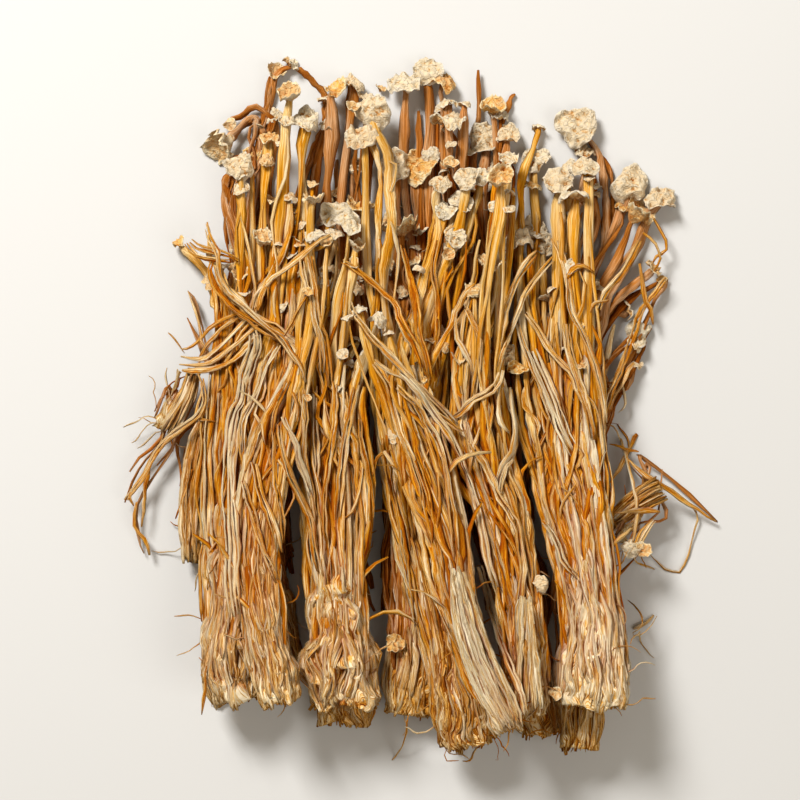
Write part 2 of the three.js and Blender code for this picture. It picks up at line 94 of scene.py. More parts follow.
CLUMPS = [
    dict(
        name="lower_left",
        spine=[[-33, -70], [-36, -40], [-37, -10], [-35, 20]],
        foot=[9, 4],
        body=[7.5, 2.6],
        stems=[
            button(-28, 85.5, 4, 20, [[-35, 52], [-34, 75]]),
            bare(-26.5, 85, [[-24, 60], [-19, 69], [-20.5, 79]]),
            trumpet(-43.8, 65.5, 7.5, 10, [[-37, 58], [-35.5, 72]]),
            button(-38, 62.5, 4, 60, [[-43.5, 48], [-42.5, 58]]),
            button(-32.3, 71.8, 4.2, 60),
            button(-18.5, 69.8, 3.2, 30),
            button(-34.3, 45.3, 3, 70),
            button(-41.4, 38.5, 4, 60),
        ],
    ),
    dict(
        name="lower_mid_left",
        spine=[[-14, -82], [-15, -50], [-16, -15], [-14, 20]],
        foot=[7.5, 3.6],
        body=[7, 2.6],
        stems=[
            trumpet(-16.9, 78, 4.8, 40),
            button(-12.5, 80.3, 5, 30),
            bare(-15.9, 61.3),
            button(-11.5, 59.4, 5, 80),
            trumpet(-10, 48, 7, 20),
            button(-8.5, 76.5, 3.5, 40),
            button(-0.5, 48.9, 3.2, 30),
        ],
    ),
    dict(
        name="lower_mid",
        spine=[[3, -79], [4, -50], [4, -15], [5, 20]],
        foot=[7, 4],
        body=[7, 2.6],
        stems=[
            button(1, 80.3, 7, 45),
            button(6.6, 83.9, 6.6, 80),
            button(-1.3, 59.5, 7, 80),
            button(4.5, 59, 7, 60),
            bare(4.8, 73.7),
            button(11, 80.5, 5.5, 30),
            button(12.3, 75, 4, 20),
            trumpet(0.5, 42.8, 7.5, 5),
            button(3.9, 38.8, 3.5, 40),
            trumpet(-4, 32, 5, 25),
            button(5.9, 43.5, 3.5, 20),
        ],
    ),
    dict(
        name="lower_mid_right",
        spine=[[36, -85], [30, -50], [24, -15], [21, 20]],
        foot=[6, 4],
        body=[7, 2.6],
        stems=[
            button(16.3, 74.3, 3, 0),
            bare(20, 84),
            trumpet(23.5, 73.5, 5, 40),
            bare(29.5, 78, [[25, 62]]),
            button(21.7, 66.5, 6.6, 80),
            button(17.3, 62.5, 4, 40),
            button(22.5, 59.9, 4, 80),
            button(27.5, 67, 5, 60),
            button(11.8, 69.6, 6.6, 20),
            button(22.3, 43, 3.6, 60),
        ],
    ),
    dict(
        name="lower_right",
        spine=[[45, -87], [46, -50], [44, -15], [44, 15]],
        foot=[5.5, 4],
        body=[6.5, 2.6],
        stems=[
            button(44.9, 69.1, 9, 80, [[52, 40], [51.5, 58]]),
            button(47.5, 62.8, 4, 40),
            button(58.8, 54.3, 8.5, 85),
            button(66.2, 51, 7, 60),
            trumpet(60, 46.5, 6.5, 20),
            button(64.3, 33.3, 4, 30),
            button(50, 54.3, 2.6, 30),
            button(61, 16.8, 5.6, 80, [[54, 2]]),
            button(57.9, 22.5, 4, 5),
            bare(68, 31, [[59, 14]]),
            button(53.8, 31.4, 3, 10),
        ],
    ),
    dict(
        name="fragment_left",
        spine=[[-52.5, -41], [-50, -22], [-47, -6], [-44, 4]],
        foot=[3.2, 2.4],
        body=[2.2, 1.6],
        stems=[bare(-42, 14), bare(-56, -22, [[-49, -4], [-56.5, -11]]), bare(-53.8, 27.5, [[-49, 14]])],
    ),
    dict(
        name="fragment_left_outer",
        spine=[[-61, -7], [-58, 0], [-55, 7], [-51, 12]],
        foot=[3.6, 2],
        body=[2, 1.6],
        stems=[
            bare(-45, 17),
            bare(-70, -26, [[-58, 2], [-60, -9.5], [-66, -17]]),
            bare(-65, -39, [[-57, 2], [-58, -11], [-66.5, -26]]),
        ],
    ),
    dict(
        name="fragment_right",
        spine=[[55, -36], [58, -31], [61.5, -26], [66, -23]],
        foot=[3, 2],
        body=[4.5, 2],
        stems=[button(60, -37.5, 3, 50, [[61.5, -12], [62.5, -26]]), bare(81, -31, [[57, -9], [66, -19]])],
    ),
    dict(
        name="mid",
        spine=[[17, -86], [13, -60], [6, -25], [3, 5]],
        foot=[8, 5.8],
        body=[8, 3.4],
        stems=[
            button(-7.2, 72.9, 7.6, 80, [[-3, 35], [-3, 58]]),
            button(-9.8, 65.8, 7, 60),
            button(10, 53.8, 5, 50, [[7, 30]]),
            button(11, 47.4, 4.5, 50),
            button(14, 40.5, 5, 80),
            button(15.5, 48.9, 5, 70),
            button(16.5, 54.8, 5, 80),
            button(19.9, 55.8, 4, 60),
            button(17.1, 23.4, 3.8, 30),
        ],
    ),
    dict(
        name="left",
        spine=[[-41.5, -75], [-42.8, -45], [-42, -15], [-39, 12]],
        foot=[7.6, 6],
        body=[7.4, 3.5],
        stems=[
            button(-39.8, 58.1, 6, 60),
            button(-33, 65.8, 4.6, 40),
            button(-44.3, 33.5, 2.6, 20),
            trumpet(-31.5, 50, 5, 10),
            bare(-17.5, 41, [[-37, 20], [-31.5, 31], [-23.5, 36]]),
            button(-56, 40, 3, 30, [[-46, 26]]),
            bare(-41.4, 36),
        ],
    ),
    dict(
        name="mid_left",
        spine=[[-14.3, -76], [-15, -50], [-17, -20], [-18, 3]],
        foot=[9.2, 6.8],
        body=[7.6, 3.7],
        stems=[
            button(-16.6, 47.1, 6, 80),
            button(-12.8, 44, 5.5, 70),
            button(-16.4, 41.5, 4, 40),
            button(-16.4, 26.8, 4.6, 50),
            button(-17.4, 22.1, 5, 10),
            bare(-13, 30.5),
            trumpet(-11, 37.5, 3.6, 20),
            button(-10.8, 15.1, 2.6, 10),
            button(-8.3, 11.3, 3, 40),
            button(-15.5, 6.5, 2.4, 10),
            button(-19.5, 5.5, 2.4, 0),
            button(-10.8, -15, 2, 20),
            button(-5.3, 19.5, 4, 40),
        ],
    ),
    dict(
        name="left_inner",
        spine=[[-29, -74], [-34.8, -48], [-34, -20], [-29, 8]],
        foot=[5.6, 5.2],
        body=[6, 3.1],
        stems=[
            trumpet(-27.8, 75.8, 5.5, 35),
            button(-23.8, 70, 6, 60),
            button(-27.8, 50.8, 3.5, 30),
            trumpet(-21.8, 49.1, 4.6, 15),
            button(-27.3, 36.1, 3, 30),
            button(-21.3, 40.8, 4.5, 40),
            bare(-48.8, 44.5, [[-25, 10], [-35, 19], [-44.5, 30]]),
        ],
    ),
    dict(
        name="right",
        spine=[[47.5, -75], [47, -50], [42.5, -22], [40, 3]],
        foot=[9.5, 7.2],
        body=[8.6, 4],
        stems=[
            button(35.4, 69.1, 2.8, 0, [[29.5, 40]]),
            button(34.5, 61, 6, 60),
            button(42.5, 58.8, 3.5, 60),
            button(46.3, 58.5, 5.5, 40),
            button(40, 54.8, 6.6, 60),
            button(44, 50.5, 7, 5),
            button(42.3, 47, 2.6, 10),
            trumpet(44, 44, 3.6, 30),
            button(33.8, 43, 6, 50),
            button(30, 40, 6, 50),
            button(36.3, 39.3, 5, 80),
            button(38.5, 27.8, 3, 5),
            bare(41.6, 19.3),
        ],
    ),
    dict(
        name="mid_right",
        spine=[[31.2, -77], [30.3, -52], [25, -27], [19, 0]],
        foot=[4.6, 4],
        body=[5.2, 2.8],
        stems=[
            trumpet(25, 54.3, 5.6, 60),
            button(27, 60, 4.5, 30),
            bare(19.9, 39.8),
            trumpet(21.8, 33.3, 5.6, 30),
            button(24.5, 35.9, 3.6, 30),
            button(25.3, 29, 3.8, 10),
            bare(23.5, 8.8),
        ],
    ),
    dict(
        name="mid_upper",
        spine=[[26, -80], [15.5, -55], [11.5, -33], [3, -6]],
        foot=[4, 3.4],
        body=[5.2, 2.6],
        stems=[bare(-6.5, 10), button(-2.5, 16, 2.6, 20), button(-10, 22, 3, 20), bare(2, 20), bare(5, 9)],
    ),
]


def mix(a, b, share):
    return a + (b - a) * share


def chance(a, b):
    wave = math.sin(a * 12.9898 + b * 78.233) * 43758.5453
    return wave - math.floor(wave)


def on_line(points, share):
    """The places at some shares of the way along the smooth line through some points."""
    points = np.asarray(points, float)
    last = len(points) - 1
    place = np.clip(np.atleast_1d(share), 0, 1) * last
    k = np.minimum(place.astype(int), last - 1)
    u = (place - k)[:, None]
    a, b, c, d = (points[np.clip(k + n, 0, last)] for n in (-1, 0, 1, 2))
    line = 2 * b + (c - a) * u + (2 * a - 5 * b + 4 * c - d) * u**2 + (3 * b - a - 3 * c + d) * u**3
    return 0.5 * line


FIELD_LOW = (-90, -110)
field = np.zeros((210, 190))


def cells_near(x, y, radius):
    """The part of the height field round a spot, and which of its 1 mm cells are within reach."""
    reach = radius + 0.75
    x0, y0 = x - FIELD_LOW[0], y - FIELD_LOW[1]
    i = np.arange(math.ceil(x0 - reach), math.floor(x0 + reach) + 1)
    j = np.arange(math.ceil(y0 - reach), math.floor(y0 + reach) + 1)
    near = np.hypot(i[None, :] - x0, j[:, None] - y0) <= reach
    return field[j[0] : j[-1] + 1, i[0] : i[-1] + 1], near


def height_near(x, y, radius):
    cells, near = cells_near(x, y, radius)
    return float(np.max(cells * near, initial=0))


def raise_field(x, y, radius, top):
    cells, near = cells_near(x, y, radius)
    np.maximum(cells, np.where(near, top, 0), out=cells)


def resting_on(below, half_height):
    return below + GAP + half_height if below > 0 else half_height - SINK


def laid_spine(clump):
    """A clump's spine at rest, as one row [x, y, z, side x, side y, half width, half height] a step."""
    steps = []
    for k in range(SPINE_STEPS + 1):
        t = k / SPINE_STEPS
        x, y = on_line(clump["spine"], t)[0]
        ahead, behind = on_line(clump["spine"], [t + 0.02, t - 0.02])
        run = np.hypot(*(ahead - behind))
        side = ((ahead[1] - behind[1]) / run, -(ahead[0] - behind[0]) / run)
        width = mix(clump["foot"][0], clump["body"][0], t)
        height = mix(clump["foot"][1], clump["body"][1], t)
        z = height - SINK
        for n in range(23):
            u = -1.1 + 0.1 * n
            below = height_near(x + side[0] * u * width, y + side[1] * u * width, 0.5)
            z = max(z, resting_on(below, height * math.sqrt(max(0.1, 1 - u * u))))
        steps.append([x, y, z, *side, width, height])
    steps = np.array(steps)
    least = steps[:, 2]
    sag = STIFFNESS * np.hypot(*np.diff(steps[:, :2], axis=0).T)
    for k in range(1, SPINE_STEPS + 1):
        least[k] = max(least[k], least[k - 1] - sag[k - 1])
    for k in reversed(range(SPINE_STEPS)):
        least[k] = max(least[k], least[k + 1] - sag[k])
    least = least.copy()
    for _ in range(12):
        for k in range(1, SPINE_STEPS):
            steps[k, 2] = max(least[k], (steps[k - 1, 2] + steps[k + 1, 2]) / 2)
    return steps


def on_spine(steps, t):
    place = t * SPINE_STEPS
    k = min(int(place), SPINE_STEPS - 1)
    return mix(steps[k], steps[k + 1], place - k)


def lift_clear(path, half_width, half_height):
    tests = []
    for k in range(len(path) - 1):
        for n in range(7):
            q = 0.05 + 0.15 * n
            x, y = mix(path[k][0], path[k + 1][0], q), mix(path[k][1], path[k + 1][1], q)
            tests.append((k, q, resting_on(height_near(x, y, half_width), half_height)))
    for turn in range(30):
        if turn < 22:
            for k in range(1, len(path) - 1):
                path[k][2] = mix(path[k][2], (path[k - 1][2] + path[k + 1][2]) / 2, 0.25)
        for k, q, least in tests:
            short = least - mix(path[k][2], path[k + 1][2], q)
            if short > 0:
                share = short / ((1 - q) ** 2 + q**2)
                path[k][2] += share * (1 - q)
                path[k + 1][2] += share * q


def cap_rise(width, tilt):
    return width * (0.3 + 0.22 * math.cos(math.radians(tilt)))


def stem_path(steps, one, lateral, upper, seed):
    """The points of one stem, from inside the foot to its cap."""
    rise = upper * math.sqrt(max(0, 1 - lateral * lateral * 0.9))
    route = []
    turn = one["via"][0] if one["via"] else one["at"]
    for t in STATIONS:
        x, y, z, side_x, side_y, width, height = on_spine(steps, t)
        if len(route) > 1 and (math.hypot(turn[0] - x, turn[1] - y) < CLEAR_OF_CAP or y > turn[1]):
            break
        across = lateral * width * mix(0.6, 1, t)
        up = rise * height * mix(0.5, 1, t)
        route.append([x + side_x * across, y + side_y * across, z + up])
    x, y = one["at"]
    under = height_near(x, y, max(one["width"] / 2, 1))
    start = route[-1][2]
    half = cap_rise(one["width"], one["tilt"])
    tip = resting_on(under, max(half, STEM_THICKNESS / 2)) + STEM_SPRING * max(0, chance(seed, 3) - 0.3)
    bends = len(one["via"])
    for n, spot in enumerate(one["via"]):
        route.append([*spot, mix(start, tip, (n + 1) / (bends + 1))])
    route.append([x, y, tip])
    length = sum(math.hypot(b[0] - a[0], b[1] - a[1]) for a, b in zip(route, route[1:]))
    pieces = max(4, math.floor(length / STEM_STEP + 0.5) + bends)
    path = on_line(route, np.arange(pieces + 1) / pieces)
    for k in range(pieces + 1):
        path[k, 0] += STEM_SWAY * math.sin(math.pi * k / pieces) * (2 * chance(seed, k + 10) - 1)
    lift_clear(path, STEM_WIDTH / 2, STEM_THICKNESS / 2)
    if one["width"]:
        path[-1, 2] = max(path[-1, 2], resting_on(under, half))
    return path


def core_swell(t):
    if t < 0.12:
        return mix(0.86, 0.94, t / 0.12)
    return mix(0.94, 0.34, min(1, (t - 0.12) / 0.45))


def lay_clump(clump, number):
    """Settles one clump on what lies there, keeps its stems' paths in it, and raises the height field."""
    steps = laid_spine(clump)
    order = sorted(range(len(clump["stems"])), key=lambda i: clump["stems"][i]["at"][0])
    for rank, i in enumerate(order):
        seed = number * 100 + i
        lateral = mix(-0.95, 0.95, rank / (len(order) - 1))
        upper = -0.7 if chance(seed, 1) < 0.25 else mix(0.55, 1, chance(seed, 2))
        one = clump["stems"][i]
        one.update(seed=seed, path=stem_path(steps, one, lateral, upper, seed))
    for n in range(69):
        t = -0.02 + 0.01 * n
        x, y, z, side_x, side_y, width, height = on_spine(steps, max(t, 0))
        swell = core_swell(t) * (1 + CORE_FLUTE)
        along = CORE_FRAY if t < 0 else 0
        for u in np.arange(-1, 1.01, 0.125):
            top = z + height * swell * math.sqrt(max(0, 1 - u * u)) + 0.3
            across = u * width * swell
            raise_field(x + side_x * across + side_y * along, y + side_y * across - side_x * along, 1, top)
    for i in order:
        one = clump["stems"][i]
        for a, b in zip(one["path"], one["path"][1:]):
            for q in np.arange(STEM_STEP) / STEM_STEP:
                x, y, z = mix(a, b, q)
                raise_field(x, y, STEM_WIDTH / 2, z + STEM_THICKNESS / 2 * 1.1)
        if one["width"]:
            x, y, z = one["path"][-1]
            raise_field(x, y, one["width"] * 0.6, z + cap_rise(one["width"], one["tilt"]))
    clump["steps"] = steps


for number, clump in enumerate(CLUMPS):
    lay_clump(clump, number + 1)



# The stems. Each is a hollow thread of fungus that has dried to a flattened, grooved and twisted ribbon,
# painted with a highlight on its ridges and with shade in its folds. Thinner ones lie along and across each
# stem that has a cap.
# Every stem is a closed tube of its own, in millimetres, and those of one clump share a mesh.
STEM_SIDES = 9
THIN_SIDES = 6
RING_STEP = 2.3
GRAIN_TURN = 1.6
LOWEST = 0.1
HIGHEST = 33
MILLIMETRE = 0.001

# How far apart the wanderings of a stem come, shortest and longest, in millimetres.
SWAY = (13, 46)
HUMP = (14, 60)
CRINKLE = (4, 9)
TWIST = (18, 80)
SWELL = (5, 26)
THINNING = (6, 30)
FOLD_DRIFT = (12, 50)
PALING = (9, 35)
FOLDS = ((2, 0.14), (3, 0.17), (4, 0.13))
DEEPEST_FOLD = 0.3


def tube_faces(rings, sides):
    """Triangles of a closed tube whose last two points are the middles of its ends."""
    ring = np.arange(rings - 1)[:, None] * sides
    here, beside = np.arange(sides)[None, :], (np.arange(sides)[None, :] + 1) % sides
    a, b, c, d = ring + here, ring + beside, ring + sides + beside, ring + sides + here
    walls = [np.stack([a, c, b], -1).reshape(-1, 3), np.stack([a, d, c], -1).reshape(-1, 3)]
    first, last = np.arange(sides), (rings - 1) * sides + np.arange(sides)
    start, end = np.full(sides, rings * sides), np.full(sides, rings * sides + 1)
    ends = [np.stack([start, first, np.roll(first, -1)], -1), np.stack([end, np.roll(last, -1), last], -1)]
    return np.concatenate(walls + ends)


dried = []


class Mass:
    """Gathers closed surfaces in millimetres, with how each point of them is marked, into one mesh."""

    def __init__(self):
        self.points, self.faces, self.marks, self.count = [], [], {}, 0

    def add(self, points, faces, **marks):
        self.points.append(points)
        self.faces.append(faces + self.count)
        self.count += len(points)
        for name, values in {"smooth": np.zeros(len(points)), **marks}.items():
            self.marks.setdefault(name, []).append(values)

    def build(self, name, finish):
        points = (np.concatenate(self.points) - MIDDLE) * MILLIMETRE
        points[:, 2] = np.maximum(points[:, 2], 0)
        faces = np.concatenate(self.faces)
        mesh = bpy.data.meshes.new(name)
        mesh.vertices.add(len(points))
        mesh.vertices.foreach_set("co", points.ravel())
        mesh.loops.add(faces.size)
        mesh.loops.foreach_set("vertex_index", faces.ravel())
        mesh.polygons.add(len(faces))
        mesh.polygons.foreach_set("loop_start", np.arange(len(faces)) * 3)
        mesh.update(calc_edges=True)
        mesh.shade_smooth()
        for mark, parts in self.marks.items():
            values = np.concatenate(parts)
            flat = values.ndim == 1
            layer = mesh.attributes.new(mark, "FLOAT" if flat else "FLOAT_VECTOR", "POINT")
            layer.data.foreach_set("value" if flat else "vector", values.ravel())
        mesh.materials.append(finish)
        piece = bpy.data.objects.new(name, mesh)
        bpy.context.scene.collection.objects.link(piece)
        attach(piece, "root")
        dried.append((mesh, points, faces))
        return piece


def frames_along(centre):
    """The direction of a line at each of its points, and the two directions across it."""
    along = np.gradient(centre, axis=0)
    along /= np.linalg.norm(along, axis=1)[:, None] + 1e-9
    side = np.cross(along, (0, 0, 1)) + (1e-6, 0, 0)
    side /= np.linalg.norm(side, axis=1)[:, None]
    return along, side, np.cross(side, along)


def slow_wave(random, distance, apart):
    """A wandering line from -1 to 1 along a stem."""
    total = np.zeros(len(distance))
    for share in (0.6, 0.4):
        turns = distance / random.uniform(*apart) + random.random()
        total += share * np.sin(2 * math.pi * turns)
    return total


def add_ribbon(mass, path, random, width, thickness, tone, **kind):
    """One dried stem along a path: width and thickness in millimetres, tone from brown 0 to cream 1."""
    wave, crinkle = kind.get("wave", 0.5), kind.get("crinkle", 0.12)
    sides, step = kind.get("sides", STEM_SIDES), kind.get("step", RING_STEP)
    path = np.asarray(path, float)
    length = np.linalg.norm(np.diff(path, axis=0), axis=1).sum()
    rings = max(7, int(length / step))
    share = np.linspace(0, 1, rings)
    centre = on_line(path, share)
    distance = share * length
    along, side, top = frames_along(centre)
    free = np.minimum(1, share * 5)[:, None]
    centre = centre + side * (slow_wave(random, distance, SWAY)[:, None] * free * wave)
    centre = centre + top * (slow_wave(random, distance, HUMP)[:, None] * free * wave * 0.5)
    centre = centre + side * (slow_wave(random, distance, CRINKLE)[:, None] * crinkle)
    centre = centre + top * (slow_wave(random, distance, CRINKLE)[:, None] * crinkle)
    centre[-1] = mix(centre[-1], path[-1], 0.7)
    along, side, top = frames_along(centre)

    turn = random.uniform(-0.5, 0.5) + 1.1 * slow_wave(random, distance, TWIST)
    rounding = np.minimum(1, 0.4 + 0.3 * (rings - 1 - np.arange(rings)))
    rounding = rounding * np.minimum(1, 0.5 + 0.3 * np.arange(rings)) + kind.get("flare", 0) * share**30
    half_width = width / 2 * (1 + 0.34 * slow_wave(random, distance, SWELL)) * rounding
    half_height = thickness / 2 * (1 + 0.24 * slow_wave(random, distance, THINNING)) * rounding
    angle = np.arange(sides) * 2 * math.pi / sides
    folds = np.zeros((rings, sides))
    for lobes, depth in FOLDS:
        drift = random.uniform(0, 6.3) + 0.8 * slow_wave(random, distance, FOLD_DRIFT)
        folds += depth * np.cos(lobes * angle[None, :] + drift[:, None])
    out = 1 + folds
    across = half_width[:, None] * out * np.cos(angle)
    above = half_height[:, None] * out * np.sin(angle)
    cos, sin = np.cos(turn)[:, None], np.sin(turn)[:, None]
    points = (
        centre[:, None, :]
        + (across * cos - above * sin)[:, :, None] * side[:, None, :]
        + (across * sin + above * cos)[:, :, None] * top[:, None, :]
    )
    lift = np.maximum(0, LOWEST - points[..., 2].min(1)) - np.maximum(0, points[..., 2].max(1) - HIGHEST)
    points[..., 2] += lift[:, None]
    centre[:, 2] += lift
    shade = tone + 0.12 * slow_wave(random, distance, PALING) - kind.get("fade", 0) * np.exp(-distance / 5)
    shade = shade + kind.get("flare", 0) * 0.3 * share**3
    smooth = kind.get("smooth", 0) * np.clip(share * 1.6 - 0.3, 0, 1)
    grain = np.empty((rings, sides, 3))
    grain[..., 0] = distance[:, None]
    grain[..., 1] = np.cos(angle) * GRAIN_TURN
    grain[..., 2] = np.sin(angle) * GRAIN_TURN + random.uniform(0, 900)
    # The folds are marked too, for painted highlight on their ridges and painted shade in their hollows.
    mass.add(
        np.concatenate([points.reshape(-1, 3), centre[:1], centre[-1:]]),
        tube_faces(rings, sides),
        tone=np.concatenate([np.repeat(shade, sides), shade[:1], shade[-1:]]),
        fold=np.concatenate([folds.ravel() / DEEPEST_FOLD, [0, 0]]),
        smooth=np.concatenate([np.repeat(smooth, sides), smooth[:1], smooth[-1:]]),
        grain=np.concatenate([grain.reshape(-1, 3), grain[0, :1], grain[-1, :1]]),
    )


class Value:
    """A shader socket that is worked with like a number."""

    def __init__(self, finish, socket):
        self.finish, self.socket = finish, socket

    def math(self, operation, first, second):
        return self.finish.node("ShaderNodeMath", {"operation": operation}, {0: first, 1: second})

    def __add__(self, other):
        return self.math("ADD", self, other)

    def __radd__(self, other):
        return self.math("ADD", other, self)

    def __sub__(self, other):
        return self.math("SUBTRACT", self, other)

    def __rsub__(self, other):
        return self.math("SUBTRACT", other, self)

    def __mul__(self, other):
        return self.math("MULTIPLY", self, other)

    def __rmul__(self, other):
        return self.math("MULTIPLY", other, self)


class Finish:
    """One material and its nodes."""

    def __init__(self, name, **constants):
        self.material = bpy.data.materials.new(name)
        self.material.use_nodes = True
        self.tree = self.material.node_tree
        self.surface = self.tree.nodes["Principled BSDF"]
        for socket, value in constants.items():
            self.surface.inputs[socket.replace("_", " ")].default_value = value

    def node(self, kind, settings=None, inputs=None, output=0):
        made = self.tree.nodes.new(kind)
        for name, value in (settings or {}).items():
            if name == "stops":
                while len(made.color_ramp.elements) < len(value):
                    made.color_ramp.elements.new(0.5)
                for element, (place, colour) in zip(made.color_ramp.elements, value):
                    element.position, element.color = place, colour
            else:
                setattr(made, name, value)
        for name, value in (inputs or {}).items():
            self.feed(made.inputs[name], value)
        return Value(self, made.outputs[output])

    def feed(self, socket, value):
        if isinstance(value, Value):
            self.tree.links.new(value.socket, socket)
        else:
            socket.default_value = value

    def mark(self, name, output="Fac"):
        return self.node("ShaderNodeAttribute", {"attribute_name": name}, output=output)

    def shade(self, socket, value):
        self.feed(self.surface.inputs[socket], value)

    def blend(self, share, first, second, how="MIX"):
        settings = {"data_type": "RGBA", "blend_type": how}
        return self.node("ShaderNodeMix", settings, {0: share, 6: first, 7: second}, output=2)


def paint(code, alpha=1.0):
    """A screen colour, written as six hex digits, as light."""
    parts = [int(code[n : n + 2], 16) / 255 for n in (0, 2, 4)]
    return (*(p / 12.92 if p < 0.04045 else ((p + 0.055) / 1.055) ** 2.4 for p in parts), alpha)


# The red-brown of the painted shade on crowded flanks, and a honey tone for random patches.
FLANK_SHADE_RED = paint("A23C00")
HONEY = paint("F2BE62")


def dried_skin(name, stops, relief_depth=0.8, amber=paint("CE7806"), shade_amber_depth=0.9):
    """Dried fungus: streaks and fine grooves along the grain, with painted highlight on its ridges and
    painted shade in its folds, and painted shade in amber, darker and red-brown where the bunch crowds round
    it.
    """
    finish = Finish(name, Specular_IOR_Level=0.07)
    grain = finish.mark("grain", "Vector")

    def along_grain(scales, detail):
        stretched = finish.node("ShaderNodeVectorMath", {"operation": "MULTIPLY"}, {0: grain, 1: scales})
        return finish.node("ShaderNodeTexNoise", {}, {"Vector": stretched, "Scale": 1.0, "Detail": detail})

    streaks = along_grain((0.14, 2.1, 2.1), 5.0)
    wrinkles = along_grain((0.8, 1.4, 1.4), 4.0)
    middle = along_grain((0.07, 2.4, 2.4), 3.0) - 0.5
    edge = finish.node("ShaderNodeMath", {"operation": "ABSOLUTE"}, {0: middle})
    groove = finish.node("ShaderNodeMath", {"operation": "MINIMUM"}, {0: edge * 14.0, 1: 1.0})
    place = finish.node("ShaderNodeTexCoord", output="Object")
    patches = finish.node("ShaderNodeTexNoise", {}, {"Vector": place, "Scale": 70.0, "Detail": 3.0})
    sheltered = finish.mark("sheltered")
    flank = finish.mark("flank")
    rough = 1 - finish.mark("smooth") * 0.68
    relief = (streaks - 0.5) * 1.2 + (wrinkles - 0.5) * 0.6 + (groove - 0.75) * 0.55
    # Painted highlight on the ridges of the folds and painted shade in their hollows.
    relief = relief + finish.mark("fold") * 0.26
    # Painted shade: the tone is lowered where the bunch crowds round a point.
    value = finish.mark("tone") + relief * rough - sheltered * 0.15
    colour = finish.node("ShaderNodeValToRGB", {"stops": stops}, {"Fac": value})
    patchy = finish.node("ShaderNodeMapRange", {}, {"Value": patches, 1: 0.48, 2: 0.7, 3: 0.0, 4: 0.25})
    colour = finish.blend(patchy, colour, HONEY, "MULTIPLY")
    # Painted shade: amber mixed in where the bunch crowds round a point.
    colour = finish.blend(sheltered * shade_amber_depth, colour, amber)
    # Painted shade: red-brown on crowded faces that look sideways or down.
    finish.shade("Base Color", finish.blend(flank * 0.85, colour, FLANK_SHADE_RED))
    finish.shade("Roughness", 0.58 + streaks * 0.35)
    height = streaks + wrinkles * 0.6 + groove * 0.5
    bump = {"Strength": relief_depth, "Distance": 0.0004, "Height": height}
    finish.shade("Normal", finish.node("ShaderNodeBump", {}, bump))
    return finish.material


GOLDEN = [
    (0.0, paint("9C4200")),
    (0.25, paint("CC7200")),
    (0.5, paint("DE9C1A")),
    (0.7, paint("E8C482")),
    (0.9, paint("F0E0BE")),
]
BROWN = [
    (0.0, paint("5C2200")),
    (0.25, paint("9A5006")),
    (0.5, paint("B8742C")),
    (0.75, paint("CEA278")),
    (1.0, paint("E2CCB0")),
]
golden_stem = dried_skin("golden_stem", GOLDEN)
brown_stem = dried_skin("brown_stem", BROWN)

LOOSE = ("fragment_left", "fragment_left_outer", "fragment_right")
UNDER = ("lower_left", "lower_mid_left", "lower_mid", "lower_mid_right", "lower_right")


def stem_tone(random, low):
    """How pale a stem has dried: most are golden, some cream and a few brown; low lowers it all, a painted
    shade for the clumps underneath.
    """
    draw = random.random()
    if draw < 0.1:
        return random.uniform(0.64, 0.78) - low
    if draw < 0.8:
        return random.uniform(0.44, 0.62) - low
    return random.uniform(0.26, 0.42) - low


PATH_POINTS = 14


def companion(path, random, reach):
    """A thinner stem's path: beside and mostly below another, drifting away and ending short of it."""
    centre = on_line(path, np.linspace(random.uniform(0.02, 0.12), reach, PATH_POINTS))
    along, side, top = frames_along(centre)
    share = np.linspace(0, 1, PATH_POINTS)[:, None]
    beside = mix(random.uniform(-2.2, 2.2), random.uniform(-3.6, 3.6), share)
    swing = random.uniform(0, 1.4)
    beside = beside + swing * np.sin(2 * math.pi * (share * random.uniform(0.6, 2) + random.random()))
    below = mix(random.uniform(-1.5, 0.5), random.uniform(-1.7, 0.5), share)
    return centre + side * beside + top * below


def crossing(paths, random, start=(0.05, 0.45), end=(0.6, 0.96), apart=(1, 8)):
    """The path of a stem that leaves one stem and joins another, lying over what is between them."""
    for _ in range(8):
        one, other = (paths[n] for n in random.integers(0, len(paths), 2))
        share = np.linspace(0, 1, PATH_POINTS)
        t = mix(random.uniform(*start), random.uniform(*end), share)
        here, there = on_line(one, t), on_line(other, t)
        if apart[0] < np.linalg.norm(here - there, axis=1).mean() < apart[1]:
            break
    over = (share * share * (3 - 2 * share))[:, None]
    line = mix(here, there, over)
    line[:, 2] += random.uniform(0.2, 1.0) * np.sin(math.pi * share) + 0.3
    return line


SPLINTER_STEP = 2.6


def splinter(path, random):
    """The path of a short stem that has come off at one end and stands away from the bundle in a curl."""
    start = random.uniform(0.1, 0.6)
    spot = on_line(path, start)[0]
    ahead = on_line(path, min(1, start + 0.05))[0] - spot
    heading = math.atan2(ahead[1], ahead[0]) + random.uniform(-0.35, 0.35)
    bend, climb = random.uniform(-0.3, 0.3), random.uniform(-0.05, 0.12)
    line = [spot]
    for _ in range(int(random.uniform(4, 9))):
        heading += bend
        spot = spot + SPLINTER_STEP * np.array([math.cos(heading), math.sin(heading), climb])
        line.append(spot)
    return line


def low_line(clump, shares, random):
    """Places on the floor under a clump's middle, each with the direction across it."""
    height = random.uniform(0.7, 2.2)
    for t in shares:
        x, y, z, side_x, side_y, width, half = on_spine(clump["steps"], t)
        yield np.array([x, y, height]), side_x, side_y


def thin_stem(mass, path, random, width, tone, waves=(0.4, 1.1)):
    thickness, wave = width * random.uniform(0.4, 0.75), random.uniform(*waves)
    add_ribbon(mass, path, random, width, thickness, tone, wave=wave, sides=THIN_SIDES, step=2.8, smooth=0.7)


